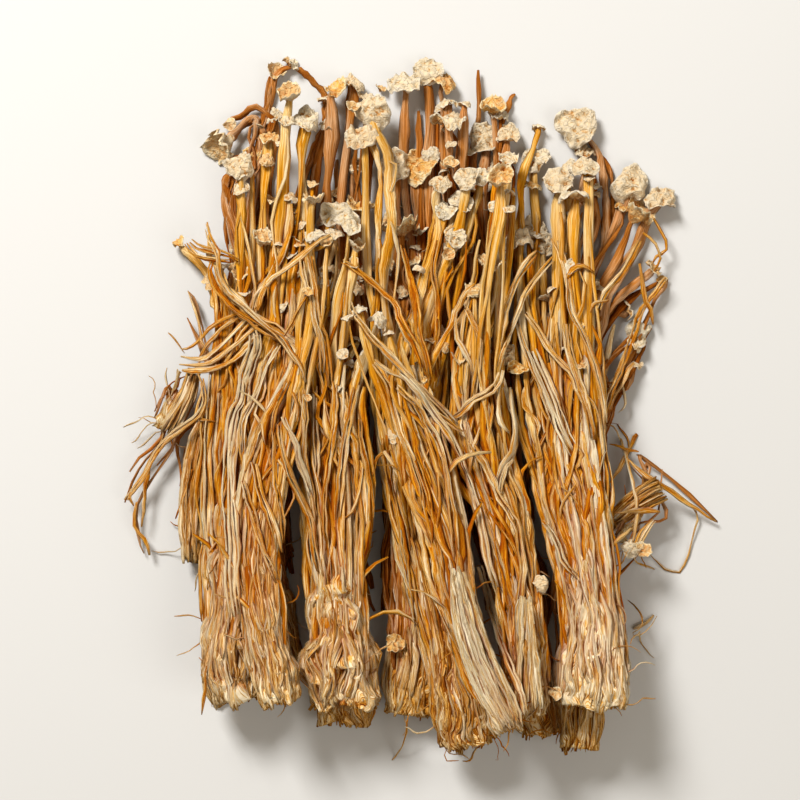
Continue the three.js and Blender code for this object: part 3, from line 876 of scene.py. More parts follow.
# How many thinner stems a clump has of each kind: a broken piece, one underneath and one on top.
BESIDE_EACH = {"loose": 1, "under": 3, "top": 4}
ON_THE_FLOOR = {"loose": 0, "under": 16, "top": 0}
CROSSING = {"loose": 0, "under": 10, "top": 16}
TANGLED = {"loose": 0, "under": 14, "top": 14}
SPLINTERS = {"loose": 0, "under": 5, "top": 5}
SMALL_CAP_TILT = (5, 80)

small_caps = []
for number, clump in enumerate(CLUMPS):
    random = np.random.default_rng(500 + number)
    mass = Mass()
    kind = "loose" if clump["name"] in LOOSE else "under" if clump["name"] in UNDER else "top"
    # Painted shade: the clumps that lie under the others get lower tones and the darker brown finish.
    low = 0.08 if kind == "under" else 0.0
    slim = 0.6 if kind == "loose" else 1.0
    paths = [one["path"] for one in clump["stems"]]
    for one in clump["stems"]:
        width = (random.uniform(1.5, 2.4) + 0.07 * one["width"] if one["width"] else 1.6) * slim
        flare = 0.3 if one["width"] else 0.0
        tone = mix(stem_tone(random, low), 0.6, 0.5)
        thickness = width * random.uniform(0.32, 0.58)
        add_ribbon(mass, one["path"], random, width, thickness, tone, flare=flare, wave=0.75, smooth=1)
        for _ in range(BESIDE_EACH[kind]):
            reach = random.uniform(0.5, 1.0)
            path = companion(one["path"], random, reach)
            thin_stem(mass, path, random, random.uniform(0.8, 2.0) * slim, stem_tone(random, low))
            if reach > 0.8 and random.random() < 0.4 and kind != "loose":
                width, tilt = random.uniform(2.4, 4.4), random.uniform(*SMALL_CAP_TILT)
                small_caps.append((clump["name"], path, width, tilt))
    for _ in range(ON_THE_FLOOR[kind]):
        beside = mix(random.uniform(-9, 9), random.uniform(-9, 9), np.linspace(0, 1, 10))
        shares = np.linspace(random.uniform(0.25, 0.4), random.uniform(0.6, 0.8), 10)
        line = zip(low_line(clump, shares, random), beside)
        path = [place + (across * off, up * off, 0) for (place, across, up), off in line]
        thin_stem(mass, path, random, 1.7, random.uniform(0.1, 0.35))
    for _ in range(CROSSING[kind]):
        thin_stem(mass, crossing(paths, random), random, random.uniform(0.7, 1.9), stem_tone(random, low))
    for n in range(TANGLED[kind]):
        path = crossing(paths, random, (0.4, 0.62), (0.74, 0.98), (4, 15))
        thin_stem(mass, path, random, random.uniform(0.8, 1.6), stem_tone(random, low), (1.2, 2.6))
        if n % 5 < 2:
            width, tilt = random.uniform(2.2, 3.8), random.uniform(*SMALL_CAP_TILT)
            small_caps.append((clump["name"], path, width, tilt))
    for _ in range(SPLINTERS[kind]):
        path = splinter(paths[random.integers(0, len(paths))], random)
        thin_stem(mass, path, random, random.uniform(0.45, 1.2), random.uniform(0.3, 0.8))
    # Painted shade: the clumps underneath get the darker brown finish; the loose pieces get it as well.
    stems = mass.build("stems_" + clump["name"], golden_stem if kind == "top" else brown_stem)
    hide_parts(clump["name"])


# The stems that lie loose on top. They have come away from their clumps and cross over the others, so each is
# draped over whatever lies under it. Each row gives a width, how pale the stem is, and its course.
LYING_ON_TOP = [
    (1.3, 0.6, [
        (-48.8, 45), (-47.8, 41), (-45.8, 37.5), (-45.2, 34.5), (-44.5, 30), (-42.2, 26.2),
        (-38.5, 23.2), (-34.5, 19.5), (-30, 15.8), (-28.5, 13.8), (-25.8, 10), (-24, 7), (-23.5, 2.5),
    ]),
    (1.3, 0.32, [
        (-46.8, 34.5), (-47.2, 31.2), (-46, 28), (-43.8, 25), (-41, 22), (-38.2, 20.5), (-34.5, 17.5),
        (-30.5, 15.5),
    ]),
    (1.2, 0.45, [(-46, 34.5), (-45, 30.5), (-43, 27), (-40, 24), (-35.5, 20.5), (-31, 16.5)]),
    (1.2, 0.4, [(-54, 39.8), (-52, 37.2), (-48.8, 35.5), (-45, 35), (-42, 34.5)]),
    (1.2, 0.45, [(-52.5, 40), (-50, 38), (-46.2, 37), (-43, 36.2), (-40, 34.5)]),
    (1.1, 0.55, [
        (-27.2, 50), (-26.8, 43.8), (-27.8, 40), (-29.5, 35.5), (-32, 31.2), (-34, 27.5), (-34.8, 24.5),
        (-35.5, 21.5),
    ]),
    (1.1, 0.62, [
        (-16.5, 41), (-20.5, 39), (-23.8, 36.2), (-27, 33.5), (-31, 30.5), (-33.5, 28), (-35, 25),
    ]),
    (1.5, 0.55, [
        (-22.5, 36), (-21.5, 31.2), (-20.8, 26), (-20.2, 20), (-18.5, 15), (-17.8, 9.5), (-17.2, 2.5),
    ]),
    (1.5, 0.68, [(-24.2, 35), (-23.5, 30), (-21.8, 25), (-21, 20), (-19.5, 13.8), (-19.2, 5.5)]),
    (3, 0.97, [
        (-36, 17.5), (-35.5, 13.8), (-36.8, 9.5), (-38.5, 5), (-39, 0), (-40.8, -3.8), (-41.8, -10),
        (-42.2, -16.2), (-42, -23.8), (-41.5, -30), (-41, -37.5), (-41, -45), (-40, -53),
    ]),
    (1.9, 0.86, [
        (-29.8, 13.8), (-31.5, 11.2), (-33.5, 7.5), (-34.5, 3.8), (-36, 0), (-38, -3.5), (-39.2, -8),
        (-38.5, -14.5),
    ]),
    (1.1, 0.66, [(-34.5, 19.5), (-38, 16.2), (-42, 13.2), (-46.8, 9.8), (-51, 8.5), (-55.8, 9)]),
    (1.1, 0.6, [(-34, 17.5), (-37.5, 13.8), (-41, 10.5), (-46, 8), (-50.5, 7.2), (-55.8, 7.5)]),
    (0.9, 0.7, [(-36, 22), (-39, 19.5), (-43.5, 14.8), (-47, 11.8), (-50, 10), (-55.2, 11)]),
    (0.8, 0.6, [(-40, 20.5), (-44.5, 17.5), (-48.5, 13.8), (-50.8, 10)]),
    (0.9, 0.5, [(-35.5, 20), (-39, 17.5), (-42, 12), (-44.5, 8.5), (-49, 7), (-54.5, 7.2)]),
    (0.8, 0.55, [(-37.5, 23), (-41.5, 21), (-45.5, 19.5), (-49.2, 16.8), (-52.2, 13.8), (-55.2, 12.8)]),
    (0.4, 0.55, [(-59.2, 17.2), (-57.5, 15.5), (-55.8, 13.5), (-55, 12)]),
    (0.8, 0.45, [(-53.8, 28), (-52.8, 24.5), (-51, 20.5), (-50, 16), (-49.2, 13.8), (-47.8, 12)]),
    (0.9, 0.5, [(-21.8, 27.5), (-24.2, 24.2), (-25.8, 21.2), (-27.5, 17.5), (-28.8, 15.5)]),
    (1.5, 0.4, [
        (-14.5, 34.5), (-11.2, 32.5), (-7.5, 29.8), (-3.5, 26), (-1.2, 23.8), (0, 20), (2.5, 15.5),
        (4.5, 12), (6, 6.2),
    ]),
    (1.4, 0.6, [
        (-12.5, 24.2), (-10.8, 20.5), (-8.5, 17.5), (-5.5, 13.8), (-3.8, 12.5), (-0.5, 9), (1.5, 7),
        (3.8, 4.5), (7, 1.2), (10, -2), (13, -5), (14.2, -6.8),
    ]),
    (1.2, 0.65, [
        (-6.5, 9.8), (-3.8, 7.5), (0, 5.5), (3, 4), (5.5, 0.8), (8.2, -2.5), (12.5, -6), (15.5, -8),
    ]),
    (1.6, 0.58, [
        (-7, 9.5), (-5, 7), (-3, 3.8), (-2, 0), (-0.8, -5), (0.8, -10), (2.8, -15), (5, -22.5),
        (6, -28.8),
    ]),
    (1.6, 0.55, [
        (-1.2, 3.8), (1.2, 1.2), (4, -1.2), (6.2, -5), (9, -10), (10.8, -15), (12, -22.5), (13, -30),
        (13.8, -37.5),
    ]),
    (1.8, 0.78, [
        (0, 7), (4.5, 2), (7.8, -2.5), (11.5, -7.5), (14.2, -12.5), (16.5, -18.8), (18.5, -25),
        (20.5, -32.5), (21.8, -40), (24.2, -47.5),
    ]),
    (1.5, 0.5, [(10, 42.5), (8.2, 32.5), (9, 27.5), (9.2, 22), (9.2, 16.2), (9.2, 12.5), (10, 3.8)]),
    (1.7, 0.45, [(0.2, 40), (2, 32.5), (3.2, 27.5), (4.2, 22), (4.5, 16.2), (6.2, 11.2), (7.5, 3.8)]),
    (1.1, 0.6, [
        (19.5, 29.2), (17, 27.5), (15.8, 25), (14, 22), (13, 18.8), (10.5, 15), (8, 10), (6.8, 3.8),
    ]),
    (1.1, 0.78, [(13.8, 20.5), (13.8, 16.2), (15.5, 12.5), (17.5, 9.5), (18, 5)]),
    (1.3, 0.6, [(16.2, 23), (18, 19.5), (19.5, 16.2), (19.8, 11.2), (18.8, 5), (18, -0.5)]),
    (1.8, 0.75, [(25, 7.5), (23.8, 3.8), (20.5, 1.2), (17.5, -0.2), (15.5, -2.8), (13, -4.5)]),
    (1.3, 0.6, [(39, 36.2), (33.8, 30), (31.2, 25.8), (29.2, 21.2), (27, 15.5), (25.5, 12), (24.2, 7)]),
    (1.6, 0.7, [(35, 37.5), (31.2, 33.8), (29, 30), (27.5, 26.2), (26.2, 22.5), (25.5, 17.5), (24, 11)]),
    (1.6, 0.6, [
        (30.5, 23), (33.8, 18.8), (36.2, 14.5), (39, 10.5), (42.5, 7), (44.2, 2.5), (46.5, -2.5),
        (47.5, -7.5),
    ]),
    (1.4, 0.66, [(29, 20.5), (31, 13.5), (32.8, 8.8), (35, 3.8), (36.5, -1), (39, -7.5)]),
    (3, 0.88, [(32.5, 12.5), (35, 6.5), (37.2, 1.2), (39, -3.5), (41, -8.5), (43.8, -13.8)]),
    (1.8, 0.62, [
        (17, -10), (20, -15), (22.2, -19.5), (23.8, -23), (26.2, -26.8), (28.5, -30.5), (29.2, -36.2),
        (29.8, -42.5), (29, -50), (28.8, -56.2),
    ]),
    (1, 0.82, [(25.8, 6.2), (24.2, 1.2), (24.2, -3), (25.2, -6.2), (27, -8)]),
    (1.2, 0.84, [
        (25.5, 5.5), (26.8, -0.5), (28.5, -4.5), (28.8, -8.8), (28, -13.8), (25.8, -17), (24.8, -20.8),
        (24.5, -24),
    ]),
    (1.1, 0.78, [(27, 3.8), (27.8, -1.2), (28.2, -7.5), (27.2, -12.5), (25, -16.2), (23.8, -20)]),
    (1.2, 0.84, [(35, -30), (37, -31.8), (39, -36.2), (40.5, -40.5), (43.8, -43.5)]),
    (2, 0.62, [(41.5, 19.5), (41.8, 15), (42.5, 11.2), (44.2, 6.2), (45.8, 1.2), (47, -3.8), (48, -10)]),
    (1.7, 0.6, [
        (38.2, 41.2), (40.5, 36.2), (41.8, 30), (42.8, 22.5), (46.2, 15), (48.8, 7.5), (50.5, 0),
        (51.2, -7.5),
    ]),
    (1.1, 0.85, [(54.5, 20), (53, 13.8), (52.2, 8.8), (51.5, 5), (51.8, 1.2)]),
    (1.5, 0.55, [(60.5, 40.5), (58, 35.5), (55, 31), (51.5, 27), (49.5, 22)]),
    (1.5, 0.5, [
        (68, 31.5), (65.5, 28.2), (62.5, 24.2), (60.8, 21.2), (59.5, 17.5), (57, 11.2), (55.5, 7),
        (53, 2), (50.8, -5),
    ]),
    (1, 0.45, [(60.5, 35.5), (61.2, 30), (62.2, 25), (63.8, 22), (64.2, 18.8)]),
    (1.1, 0.6, [(59.5, 9.8), (57.5, 7), (56.2, 3.8), (53.8, 1.2), (52.8, -2.5)]),
    (0.5, 0.7, [(56, 5), (57.2, 0.8), (57, -2.2), (55.2, -3.2)]),
    (0.8, 0.4, [(64, 46), (65.8, 42.8), (67.8, 39.2), (66.5, 37.2), (65, 36.2), (63.8, 34.5)]),
    (0.8, 0.42, [(61, 42.5), (63.8, 40.5), (65.5, 38), (65.8, 34.5), (63.8, 32)]),
    (1.1, 0.35, [(41.5, 30), (42.5, 32), (44.2, 33.2), (46.5, 33.5), (48.5, 31.8)]),
    (0.8, 0.5, [(47.5, 21.5), (48, 23.8), (50, 24.8), (52.5, 25)]),
    (1.3, 0.55, [(-27.5, 5), (-29.2, 1.2), (-30.8, -2.5), (-31.2, -6.2), (-32.2, -11.8)]),
    (1.1, 0.5, [(-29, 3), (-31.5, -1.5), (-33.5, -6), (-33, -11.2)]),
    (1.6, 0.55, [
        (-29.8, -5.5), (-28.8, -12.5), (-26.8, -19.5), (-24.2, -25), (-21.8, -30), (-21.2, -36.2),
        (-19.5, -43.8),
    ]),
    (1.5, 0.84, [(-29, -3.8), (-27.5, -7), (-25.8, -10), (-25, -15), (-23, -20), (-21.5, -25)]),
    (1.2, 0.5, [(-31, -7.5), (-30.8, -13.8), (-30.5, -20), (-29.5, -25), (-28.8, -30), (-28.8, -35.8)]),
    (0.8, 0.6, [(-26.8, -22), (-26.2, -24), (-27.5, -27), (-29, -29.5)]),
    (1.5, 0.62, [(-38.8, -19.5), (-37, -25), (-35.5, -30), (-34.2, -35), (-32, -40), (-29.8, -45)]),
    (1.7, 0.55, [(-36, -15), (-34.5, -22.5), (-32.5, -27.5), (-30.8, -32.5), (-29.5, -38)]),
    (1.9, 0.6, [(-24.2, 3), (-23.5, -2.5), (-23.5, -7.5), (-23.8, -15), (-22.5, -22.5), (-21, -30)]),
    (1.5, 0.66, [(-21.2, 3.8), (-21, -5), (-20.8, -12.5), (-20.8, -20.5)]),
    (1.5, 0.5, [(-16.2, 5.5), (-16, -2.5), (-16.8, -10), (-18, -17.5), (-18.8, -25), (-18.2, -35)]),
    (1.7, 0.66, [(-10.8, 4.2), (-12, -2.5), (-13.2, -8.8), (-14, -15), (-14.8, -22.5), (-15.5, -30)]),
    (1.5, 0.4, [(-10, -4.5), (-9.5, -10), (-8.2, -16.2), (-7.5, -22.5), (-7, -30)]),
    (0.8, 0.6, [(-9.2, -16), (-9.8, -20.5), (-11, -25.5), (-12.5, -28.8), (-14.8, -29.5)]),
    (1.4, 0.48, [
        (-4, -7.5), (-3.2, -13.8), (-2.2, -21.2), (-0.8, -27.5), (0.5, -35), (1.8, -42.5), (3, -50),
    ]),
    (1.4, 0.4, [(0, -8.8), (0.5, -15), (1, -22.5), (2.2, -30), (2.8, -37.5)]),
    (1.2, 0.36, [(3, -12.5), (5, -17.5), (7, -23.8), (7.8, -30), (8.2, -35)]),
    (1, 0.5, [(9.2, -17.5), (9.5, -25), (9, -31.8)]),
    (0.7, 0.5, [(-6.8, -18.5), (-5.5, -14.2), (-2.2, -12)]),
    (1.3, 0.7, [(0, -35), (1.2, -42.5), (3.2, -50), (4, -57)]),
    (1.1, 0.84, [(11.8, -37.8), (13.2, -43.8), (14, -50), (14.5, -55)]),
    (2.4, 0.96, [(14, -47), (16, -55), (18.5, -62.5), (22.5, -72.5), (26.2, -79)]),
    (2.2, 0.88, [(17, -49), (20.2, -57.5), (23.5, -65.5), (27, -73), (28.5, -79)]),
    (1.8, 0.8, [(19.5, -40), (22.5, -50), (25.2, -60), (28.5, -69), (30.5, -76.2)]),
    (1.3, 0.7, [
        (-49.8, 5.8), (-48.8, 0.5), (-50.5, -4), (-56.2, -8), (-61.2, -12.5), (-65, -19.5), (-68, -23.5),
        (-69.8, -26),
    ]),
    (0.8, 0.6, [(-51, -4.5), (-58.8, -10.5), (-63.2, -16.2), (-64.5, -22.5), (-65, -27), (-65.5, -32.5)]),
    (1.1, 0.6, [(-66.5, -25), (-67.5, -30), (-66.2, -33.8), (-64.2, -36.2), (-63.5, -40)]),
    (0.9, 0.5, [(-68, -22.5), (-68.5, -25), (-67.5, -27)]),
    (0.8, 0.5, [(-50.5, 6.5), (-49.2, 3), (-50.8, -1), (-51, -4.5), (-49, -5), (-45.5, -5.5)]),
    (0.7, 0.45, [(-52.5, -17), (-54.5, -24.5), (-57, -30.5)]),
    (1, 0.82, [(56, -9.2), (57.8, -15), (59, -22.5), (59.2, -28.8), (58, -36.2)]),
    (1, 0.6, [(57, -14.5), (61.2, -18.5), (66.2, -21.5), (73.8, -26.8), (81.5, -31.5)]),
    (0.45, 0.6, [
        (73.8, -26.8), (76, -29.5), (75, -33.8), (73.5, -40), (71.2, -43.8), (68, -43), (65, -40.5),
        (62.5, -37.8),
    ]),
    (0.8, 0.55, [(60.5, -8.5), (57.5, -13.8), (52.5, -21)]),
    (0.5, 0.7, [(52, -6), (55, -8), (57, -13)]),
    (0.6, 0.3, [(55.5, -6), (57.8, -9.5), (58.2, -13)]),
    (0.7, 0.35, [(53, -11), (57, -12.5), (60.5, -13)]),
    (0.5, 0.6, [(58.2, -38.8), (60, -41.2), (65.2, -43.2)]),
    (0.35, 0.7, [(57.5, -50.5), (60.2, -53), (60.8, -56.2), (58, -58.5), (61.2, -58.5), (65, -54.5)]),
    (0.35, 0.6, [(56.5, -60), (60, -58), (61.2, -61.5), (65, -66)]),
    (0.9, 0.7, [(59.5, -58.5), (62.5, -57), (64.8, -54.8)]),
    (0.8, 0.5, [(53, -28), (60, -27.8), (65.5, -28.2)]),
    (1.9, 0.72, [(59, -37), (61.2, -33), (63.8, -30)]),
    (0.5, 0.4, [(-47.8, -65.5), (-48.5, -72), (-49.2, -78.2)]),
    (0.45, 0.6, [(2, -78.8), (1, -87), (-2, -92)]),
]


DRAPE_STEP = 2.5
DRAPE_REACH = 0.8
DRAPE_SINK = 0.3


def draped(course, half_height):
    """The path of a stem that lies over whatever is under its course."""
    course = np.array(course, float)
    count = max(8, int(np.linalg.norm(np.diff(course, axis=0), axis=1).sum() / DRAPE_STEP))
    line = on_line(course, np.linspace(0, 1, count))
    under = np.array([height_near(x, y, DRAPE_REACH) for x, y in line])
    bridge = np.array([under[max(0, n - 1) : n + 2].max() for n in range(count)])
    smooth = np.array([bridge[max(0, n - 2) : n + 3].mean() for n in range(count)])
    return np.column_stack([line, smooth + half_height - DRAPE_SINK])


LYING_WIDTH = 0.75
LYING_STRAND = dict(wave=0.22, crinkle=0.16, sides=THIN_SIDES, step=2.1)
mass = Mass()
random = np.random.default_rng(77)
for width, tone, course in LYING_ON_TOP:
    path = draped(course, 0.3 * min(width, 2))
    side = frames_along(path)[1]
    strands = max(1, round(width / LYING_WIDTH))
    for n in range(strands):
        share = (n + 0.5) / strands - 0.5
        slim = width / strands * random.uniform(1.1, 1.5)
        spread = np.linspace(random.uniform(0.7, 1.5), random.uniform(0.7, 1.5), len(path))[:, None]
        beside = path + side * (share * width * spread) + (0, 0, random.uniform(-0.15, 0.2))
        start, end = random.uniform(0, 0.06), random.uniform(0.94, 1)
        line = on_line(beside, np.linspace(start, end, len(beside)))
        pale = tone + random.uniform(-0.1, 0.12)
        add_ribbon(mass, line, random, slim, slim * 0.55, pale, **LYING_STRAND)
mass.build("stems_lying_on_top", golden_stem)


# The feet. At its foot a clump's stems have grown together into a dense, stringy block that was torn off
# its bed. Its surface is a mat of strands fused side by side, with flat ones over them that run up into the
# stems. Its end is a ragged brush.
CORE_SIZES = {"loose": (40, 30), "under": (80, 44), "top": (100, 56)}
CORE_RADIUS = 9
FOOT_LENGTH = 130
SHALLOWEST = 0.87
STRAND_GROOVE = 0.085
SHRUNK = 1.8
WIDE_STRANDS = 0.22
FINE_STRANDS = 0.5
FOOT_END = 0.018
LUMPS = {"mid_left": 1.9, "left": 1.3, "mid_right": 1.3}


def around_foot(steps, t, angle, out):
    """The place on a clump's core, at an angle round it and at a share of its radius."""
    x, y, z, side_x, side_y, width, height = on_spine(steps, t)
    swell = core_swell(max(t, 0)) * out
    across = math.cos(angle) * width * swell
    return (x + side_x * across, y + side_y * across, z + math.sin(angle) * height * swell)


noise.seed_set(11)


def crumpled(spot, clump):
    """Where the drying of a foot has drawn a place of it, in folds that all its strands share."""
    spot = Vector(spot)
    wide = noise.noise_vector(spot * 0.16 + Vector((clump["seed"], 0, 0))) * 1.5
    fine = noise.noise_vector(spot * 0.42 + Vector((0, clump["seed"], 0))) * 0.8
    return spot + (wide + fine) * LUMPS.get(clump["name"], 1)


def strand_back(spot, fine):
    """1 on the back of a strand of the fused foot and 0 in the groove beside it."""
    x, y, z = Vector(spot)
    return min(1, 5 * abs(noise.noise(Vector((x * fine, y * fine, z * 0.06)))))


def add_core(mass, clump, share, size, tone):
    seed = clump["seed"]
    sides, rings = size
    points, folds, grain = [], [], []
    for ring in range(rings):
        t = CORE_LENGTH * ring / (rings - 1)
        for n in range(sides):
            angle = 2 * math.pi * n / sides
            spot = Vector((2 * math.cos(angle), 2 * math.sin(angle), 9 * t + seed))
            wander = angle + 0.5 * noise.noise(spot)
            flat = (CORE_RADIUS * math.cos(wander), CORE_RADIUS * math.sin(wander), FOOT_LENGTH * t + seed)
            back = 0.6 * strand_back(flat, WIDE_STRANDS) + 0.4 * strand_back(flat, FINE_STRANDS)
            out = (SHALLOWEST + STRAND_GROOVE * SHRUNK * back) * share
            points.append(crumpled(around_foot(clump["steps"], t, angle, out), clump))
            # Painted shade in the grooves between the fused strands and painted highlight on their backs.
            folds.append(3 * back - 2.1)
            grain.append(flat)
    for t in (0.02, CORE_LENGTH):
        points.append(around_foot(clump["steps"], t, 0, 0))
        folds.append(-1)
        grain.append((FOOT_LENGTH * t, 0, 0))
    shape = np.array(points)
    shape[:, 2] = np.minimum(shape[:, 2], HIGHEST)
    grain = np.array(grain)[:, [2, 0, 1]]
    tones = np.full(len(shape), tone)
    mass.add(shape, tube_faces(rings, sides), tone=tones, fold=np.array(folds), grain=grain)


FOOT = [
    (0.0, paint("7E400A")),
    (0.2, paint("C67E14")),
    (0.42, paint("E6B25A")),
    (0.7, paint("ECD4A4")),
    (1.0, paint("F4E6C8")),
]
# The feet's amber, D6861A, is their painted shade where the bunch crowds round.
stringy_foot = dried_skin("stringy_foot", FOOT, 0.9, paint("D6861A"), 0.75)


STRAND = dict(wave=0.2, crinkle=0.14, sides=THIN_SIDES)


def add_strand(mass, path, random, width, tone, **kind):
    add_ribbon(mass, path, random, width, width * 0.36, tone, **STRAND, **kind)


def foot_strand(clump, random, low):
    """The path of a flat strand that lies on the foot, sunk into it at both ends."""
    on_top = random.random() < 0.85
    angle = random.uniform(-0.4, math.pi + 0.4) if on_top else random.uniform(0, 2 * math.pi)
    start = random.uniform(-FOOT_END, 0.02) if low else random.uniform(-0.01, 0.4)
    length, drift = random.uniform(0.1, 0.34), random.uniform(-0.25, 0.25)
    out = random.uniform(0.93, 1.01)
    path = []
    for share in np.linspace(0, 1, 9):
        sunk = out - 0.3 * max(0, share - 0.7) - (0 if low else 0.3 * max(0, 0.3 - share))
        place = around_foot(clump["steps"], start + length * share, angle + drift * share, sunk)
        path.append(crumpled(place, clump))
    return path


def runner(clump, random):
    """The path of a strand that runs from the foot's end along its surface and on along a stem."""
    one = clump["stems"][random.integers(0, len(clump["stems"]))]
    stem_length = np.linalg.norm(np.diff(one["path"], axis=0), axis=1).sum()
    beside = one["path"][0] - np.array(on_spine(clump["steps"], ROOT)[:3])
    across = np.dot(beside[:2], on_spine(clump["steps"], ROOT)[3:5]) / clump["foot"][0]
    angle = math.acos(np.clip(1.5 * across + random.uniform(-0.3, 0.3), -0.97, 0.97))
    start, end = random.uniform(-FOOT_END, 0.15), random.uniform(0.45, 0.85)
    off = np.array([random.uniform(-1.5, 1.5), 0, random.uniform(0, 0.8)])
    path = []
    for t in np.linspace(start, end, 12):
        on_foot = np.array(crumpled(around_foot(clump["steps"], t, angle, 1.0), clump))
        on_stem = on_line(one["path"], (t - ROOT) * FOOT_LENGTH / stem_length)[0] + off
        share = min(1, max(0, (t - 0.16) / 0.3))
        path.append(mix(on_foot, on_stem, share * share * (3 - 2 * share)))
    return path


STRIP_POINTS = 9
STRIP_WIDTHS = (0.8, 1.8)


def add_strip(mass, random, outline, level, thick, tones, count):
    """A torn strip: strands side by side with ragged ends, along an outline of x, y and half width."""
    outline = np.array(outline, float)
    for _ in range(count):
        lateral = random.uniform(-1, 1)
        reach = np.linspace(random.uniform(0, 0.15), random.uniform(0.88, 1), STRIP_POINTS)
        line = on_line(outline, reach)
        flat = np.column_stack([line[:, :2], np.zeros(STRIP_POINTS)])
        side = frames_along(flat)[1]
        rise = thick * math.sqrt(1 - lateral**2) * random.uniform(-1, 1)
        floor = draped(line[:, :2], 0)[:, 2].max() if level is None else level
        path = flat + side * (lateral * line[:, 2:]) + (0, 0, floor + rise)
        add_strand(mass, path, random, random.uniform(*STRIP_WIDTHS), random.uniform(*tones), step=1.7)


# The outlines of the strips that stand for the feet of the broken pieces, as rows of x, y and half width.
STRIPS = {
    "fragment_left": [
        [-43.5, 4.3, 1], [-47.5, -1.5, 1.3], [-50.8, -9, 1.6], [-52.5, -17.5, 2], [-53.2, -25, 2.3],
        [-53.2, -34, 2.3], [-53, -41.5, 2],
    ],
    "fragment_left_outer": [[-52, 8, 1.6], [-53.5, 2, 1.9], [-56, -3, 2.3], [-59, -8.5, 2.8]],
    "fragment_right": [[52.5, -31.5, 1.6], [57, -27.5, 2.4], [61.5, -24.3, 3], [66, -22, 3.3]],
}
STRIP_TONES = {
    "fragment_left": (0.35, 0.8),
    "fragment_left_outer": (0.35, 0.8),
    "fragment_right": (0.15, 0.55),
}
STRIP_STRANDS = 34
PALER_FEET = {"right": 0.2, "left": 0.08, "mid_upper": 0.08, "mid": -0.18}
STRANDS_AROUND = {"under": 1.2, "top": 2.0}
RUNNERS = {"under": 10, "top": 30}
BRUSH_DENSITY = 0.6

for number, clump in enumerate(CLUMPS):
    random = np.random.default_rng(900 + number)
    mass = Mass()
    steps = clump["steps"]
    width, height = clump["foot"]
    clump["seed"] = 10.0 * number
    if clump["name"] in LOOSE:
        add_core(mass, clump, 0.5, CORE_SIZES["loose"], 0.5)
        level = on_spine(steps, 0.4)[2]
        strip, tones = STRIPS[clump["name"]], STRIP_TONES[clump["name"]]
        add_strip(mass, random, strip, level, 1.3, tones, STRIP_STRANDS)
        mass.build("foot_" + clump["name"], stringy_foot)
        continue
    kind = "under" if clump["name"] in UNDER else "top"
    # Painted shade: the feet of the clumps that lie underneath are painted darker.
    pale = PALER_FEET.get(clump["name"], 0.0) - (0.16 if kind == "under" else 0)
    add_core(mass, clump, 1, CORE_SIZES[kind], 0.5 + pale)
    for n in range(int(STRANDS_AROUND[kind] * math.pi * (width + height))):
        low = random.random() < 0.4
        path = foot_strand(clump, random, low)
        wide = random.uniform(0.7, 2.3) * (0.7 if low else 1)
        tone = random.uniform(0.4, 0.85) + pale
        add_strand(mass, path, random, wide, tone, step=1.9, fade=0.35 if low else 0.15)
    for n in range(RUNNERS[kind]):
        path = runner(clump, random)
        add_strand(mass, path, random, random.uniform(0.8, 2.2), random.uniform(0.4, 0.8) + pale, step=2.6)
    for n in range(int(BRUSH_DENSITY * width * height)):
        angle, out = random.uniform(0, 2 * math.pi), math.sqrt(random.uniform(0, 0.7))
        start = -random.uniform(-0.01, FOOT_END)
        line = [around_foot(steps, mix(start, 0.07, share), angle, out) for share in (0, 0.3, 0.6, 1)]
        path = [crumpled(place, clump) for place in line]
        add_strand(mass, path, random, random.uniform(0.5, 1.3), random.uniform(0.1, 0.5), step=1.6)
    mass.build("foot_" + clump["name"], stringy_foot)


# The strips that have split off the feet and lie draped over them, and the scraps of them on the floor.
# They are the same stringy stuff as the feet. Each row gives an outline, a height or none, and how thick,
# pale and dense the strip is.
SPLIT_STRIPS = [
    (
        [[13.5, -40, 1.5], [15.5, -50, 2.8], [19, -62, 3.4], [23.5, -72.5, 3.2], [27, -79, 2.4]],
        None, 0.5, (0.55, 0.95), 26,
    ),
    ([[30.5, -47.5, 1.4], [30.8, -57.5, 2], [31, -65, 2.7], [31.3, -75, 3.9]], None, 0.5, (0.45, 0.8), 26),
    ([[13, -80.5, 1.8], [14.3, -85.5, 1.3], [15.3, -90.5, 0.8]], 1.0, 0.8, (0.15, 0.4), 9),
    ([[-42, -72.5, 1.2], [-44.5, -75.5, 1.3], [-47, -78.5, 0.8]], 1.0, 0.8, (0.25, 0.5), 8),
]
mass = Mass()
random = np.random.default_rng(950)
for strip in SPLIT_STRIPS:
    add_strip(mass, random, *strip)
mass.build("split_strips", stringy_foot)


# The caps. Each was a smooth round button and has shrunk to a thin crumpled sheet with a curled rim. It is
# matte cream with tan wrinkles, painted highlight on its folds and painted shade in their valleys and where
# the bunch crowds round it, and amber underneath where the gills were. A trumpet is a cap whose rim has
# turned up into a cup. Small ones sit on the thinner stems.
CAP_SWELL = 1.18
LARGE_CAP = (5.5, 44)
MIDDLING_CAP = (3.5, 32)
SMALL_CAP_SIDES = 20
UPPER_SHARE = 0.52
CAP_BUTTON = [
    (0, 0.33), (0.3, 0.32), (0.6, 0.25), (0.85, 0.12), (0.97, 0.03), (1.01, -0.05),
    (0.96, -0.05), (0.8, 0.02), (0.55, 0.1), (0.35, 0.08), (0.2, -0.04), (0, -0.26),
]
CAP_TRUMPET = [
    (0, 0.02), (0.3, 0.04), (0.6, 0.18), (0.86, 0.36), (0.98, 0.42), (1.02, 0.4),
    (0.98, 0.33), (0.82, 0.25), (0.56, 0.06), (0.32, -0.18), (0.2, -0.4), (0, -0.56),
]
PROFILES = {"button": np.array(CAP_BUTTON), "trumpet": np.array(CAP_TRUMPET)}


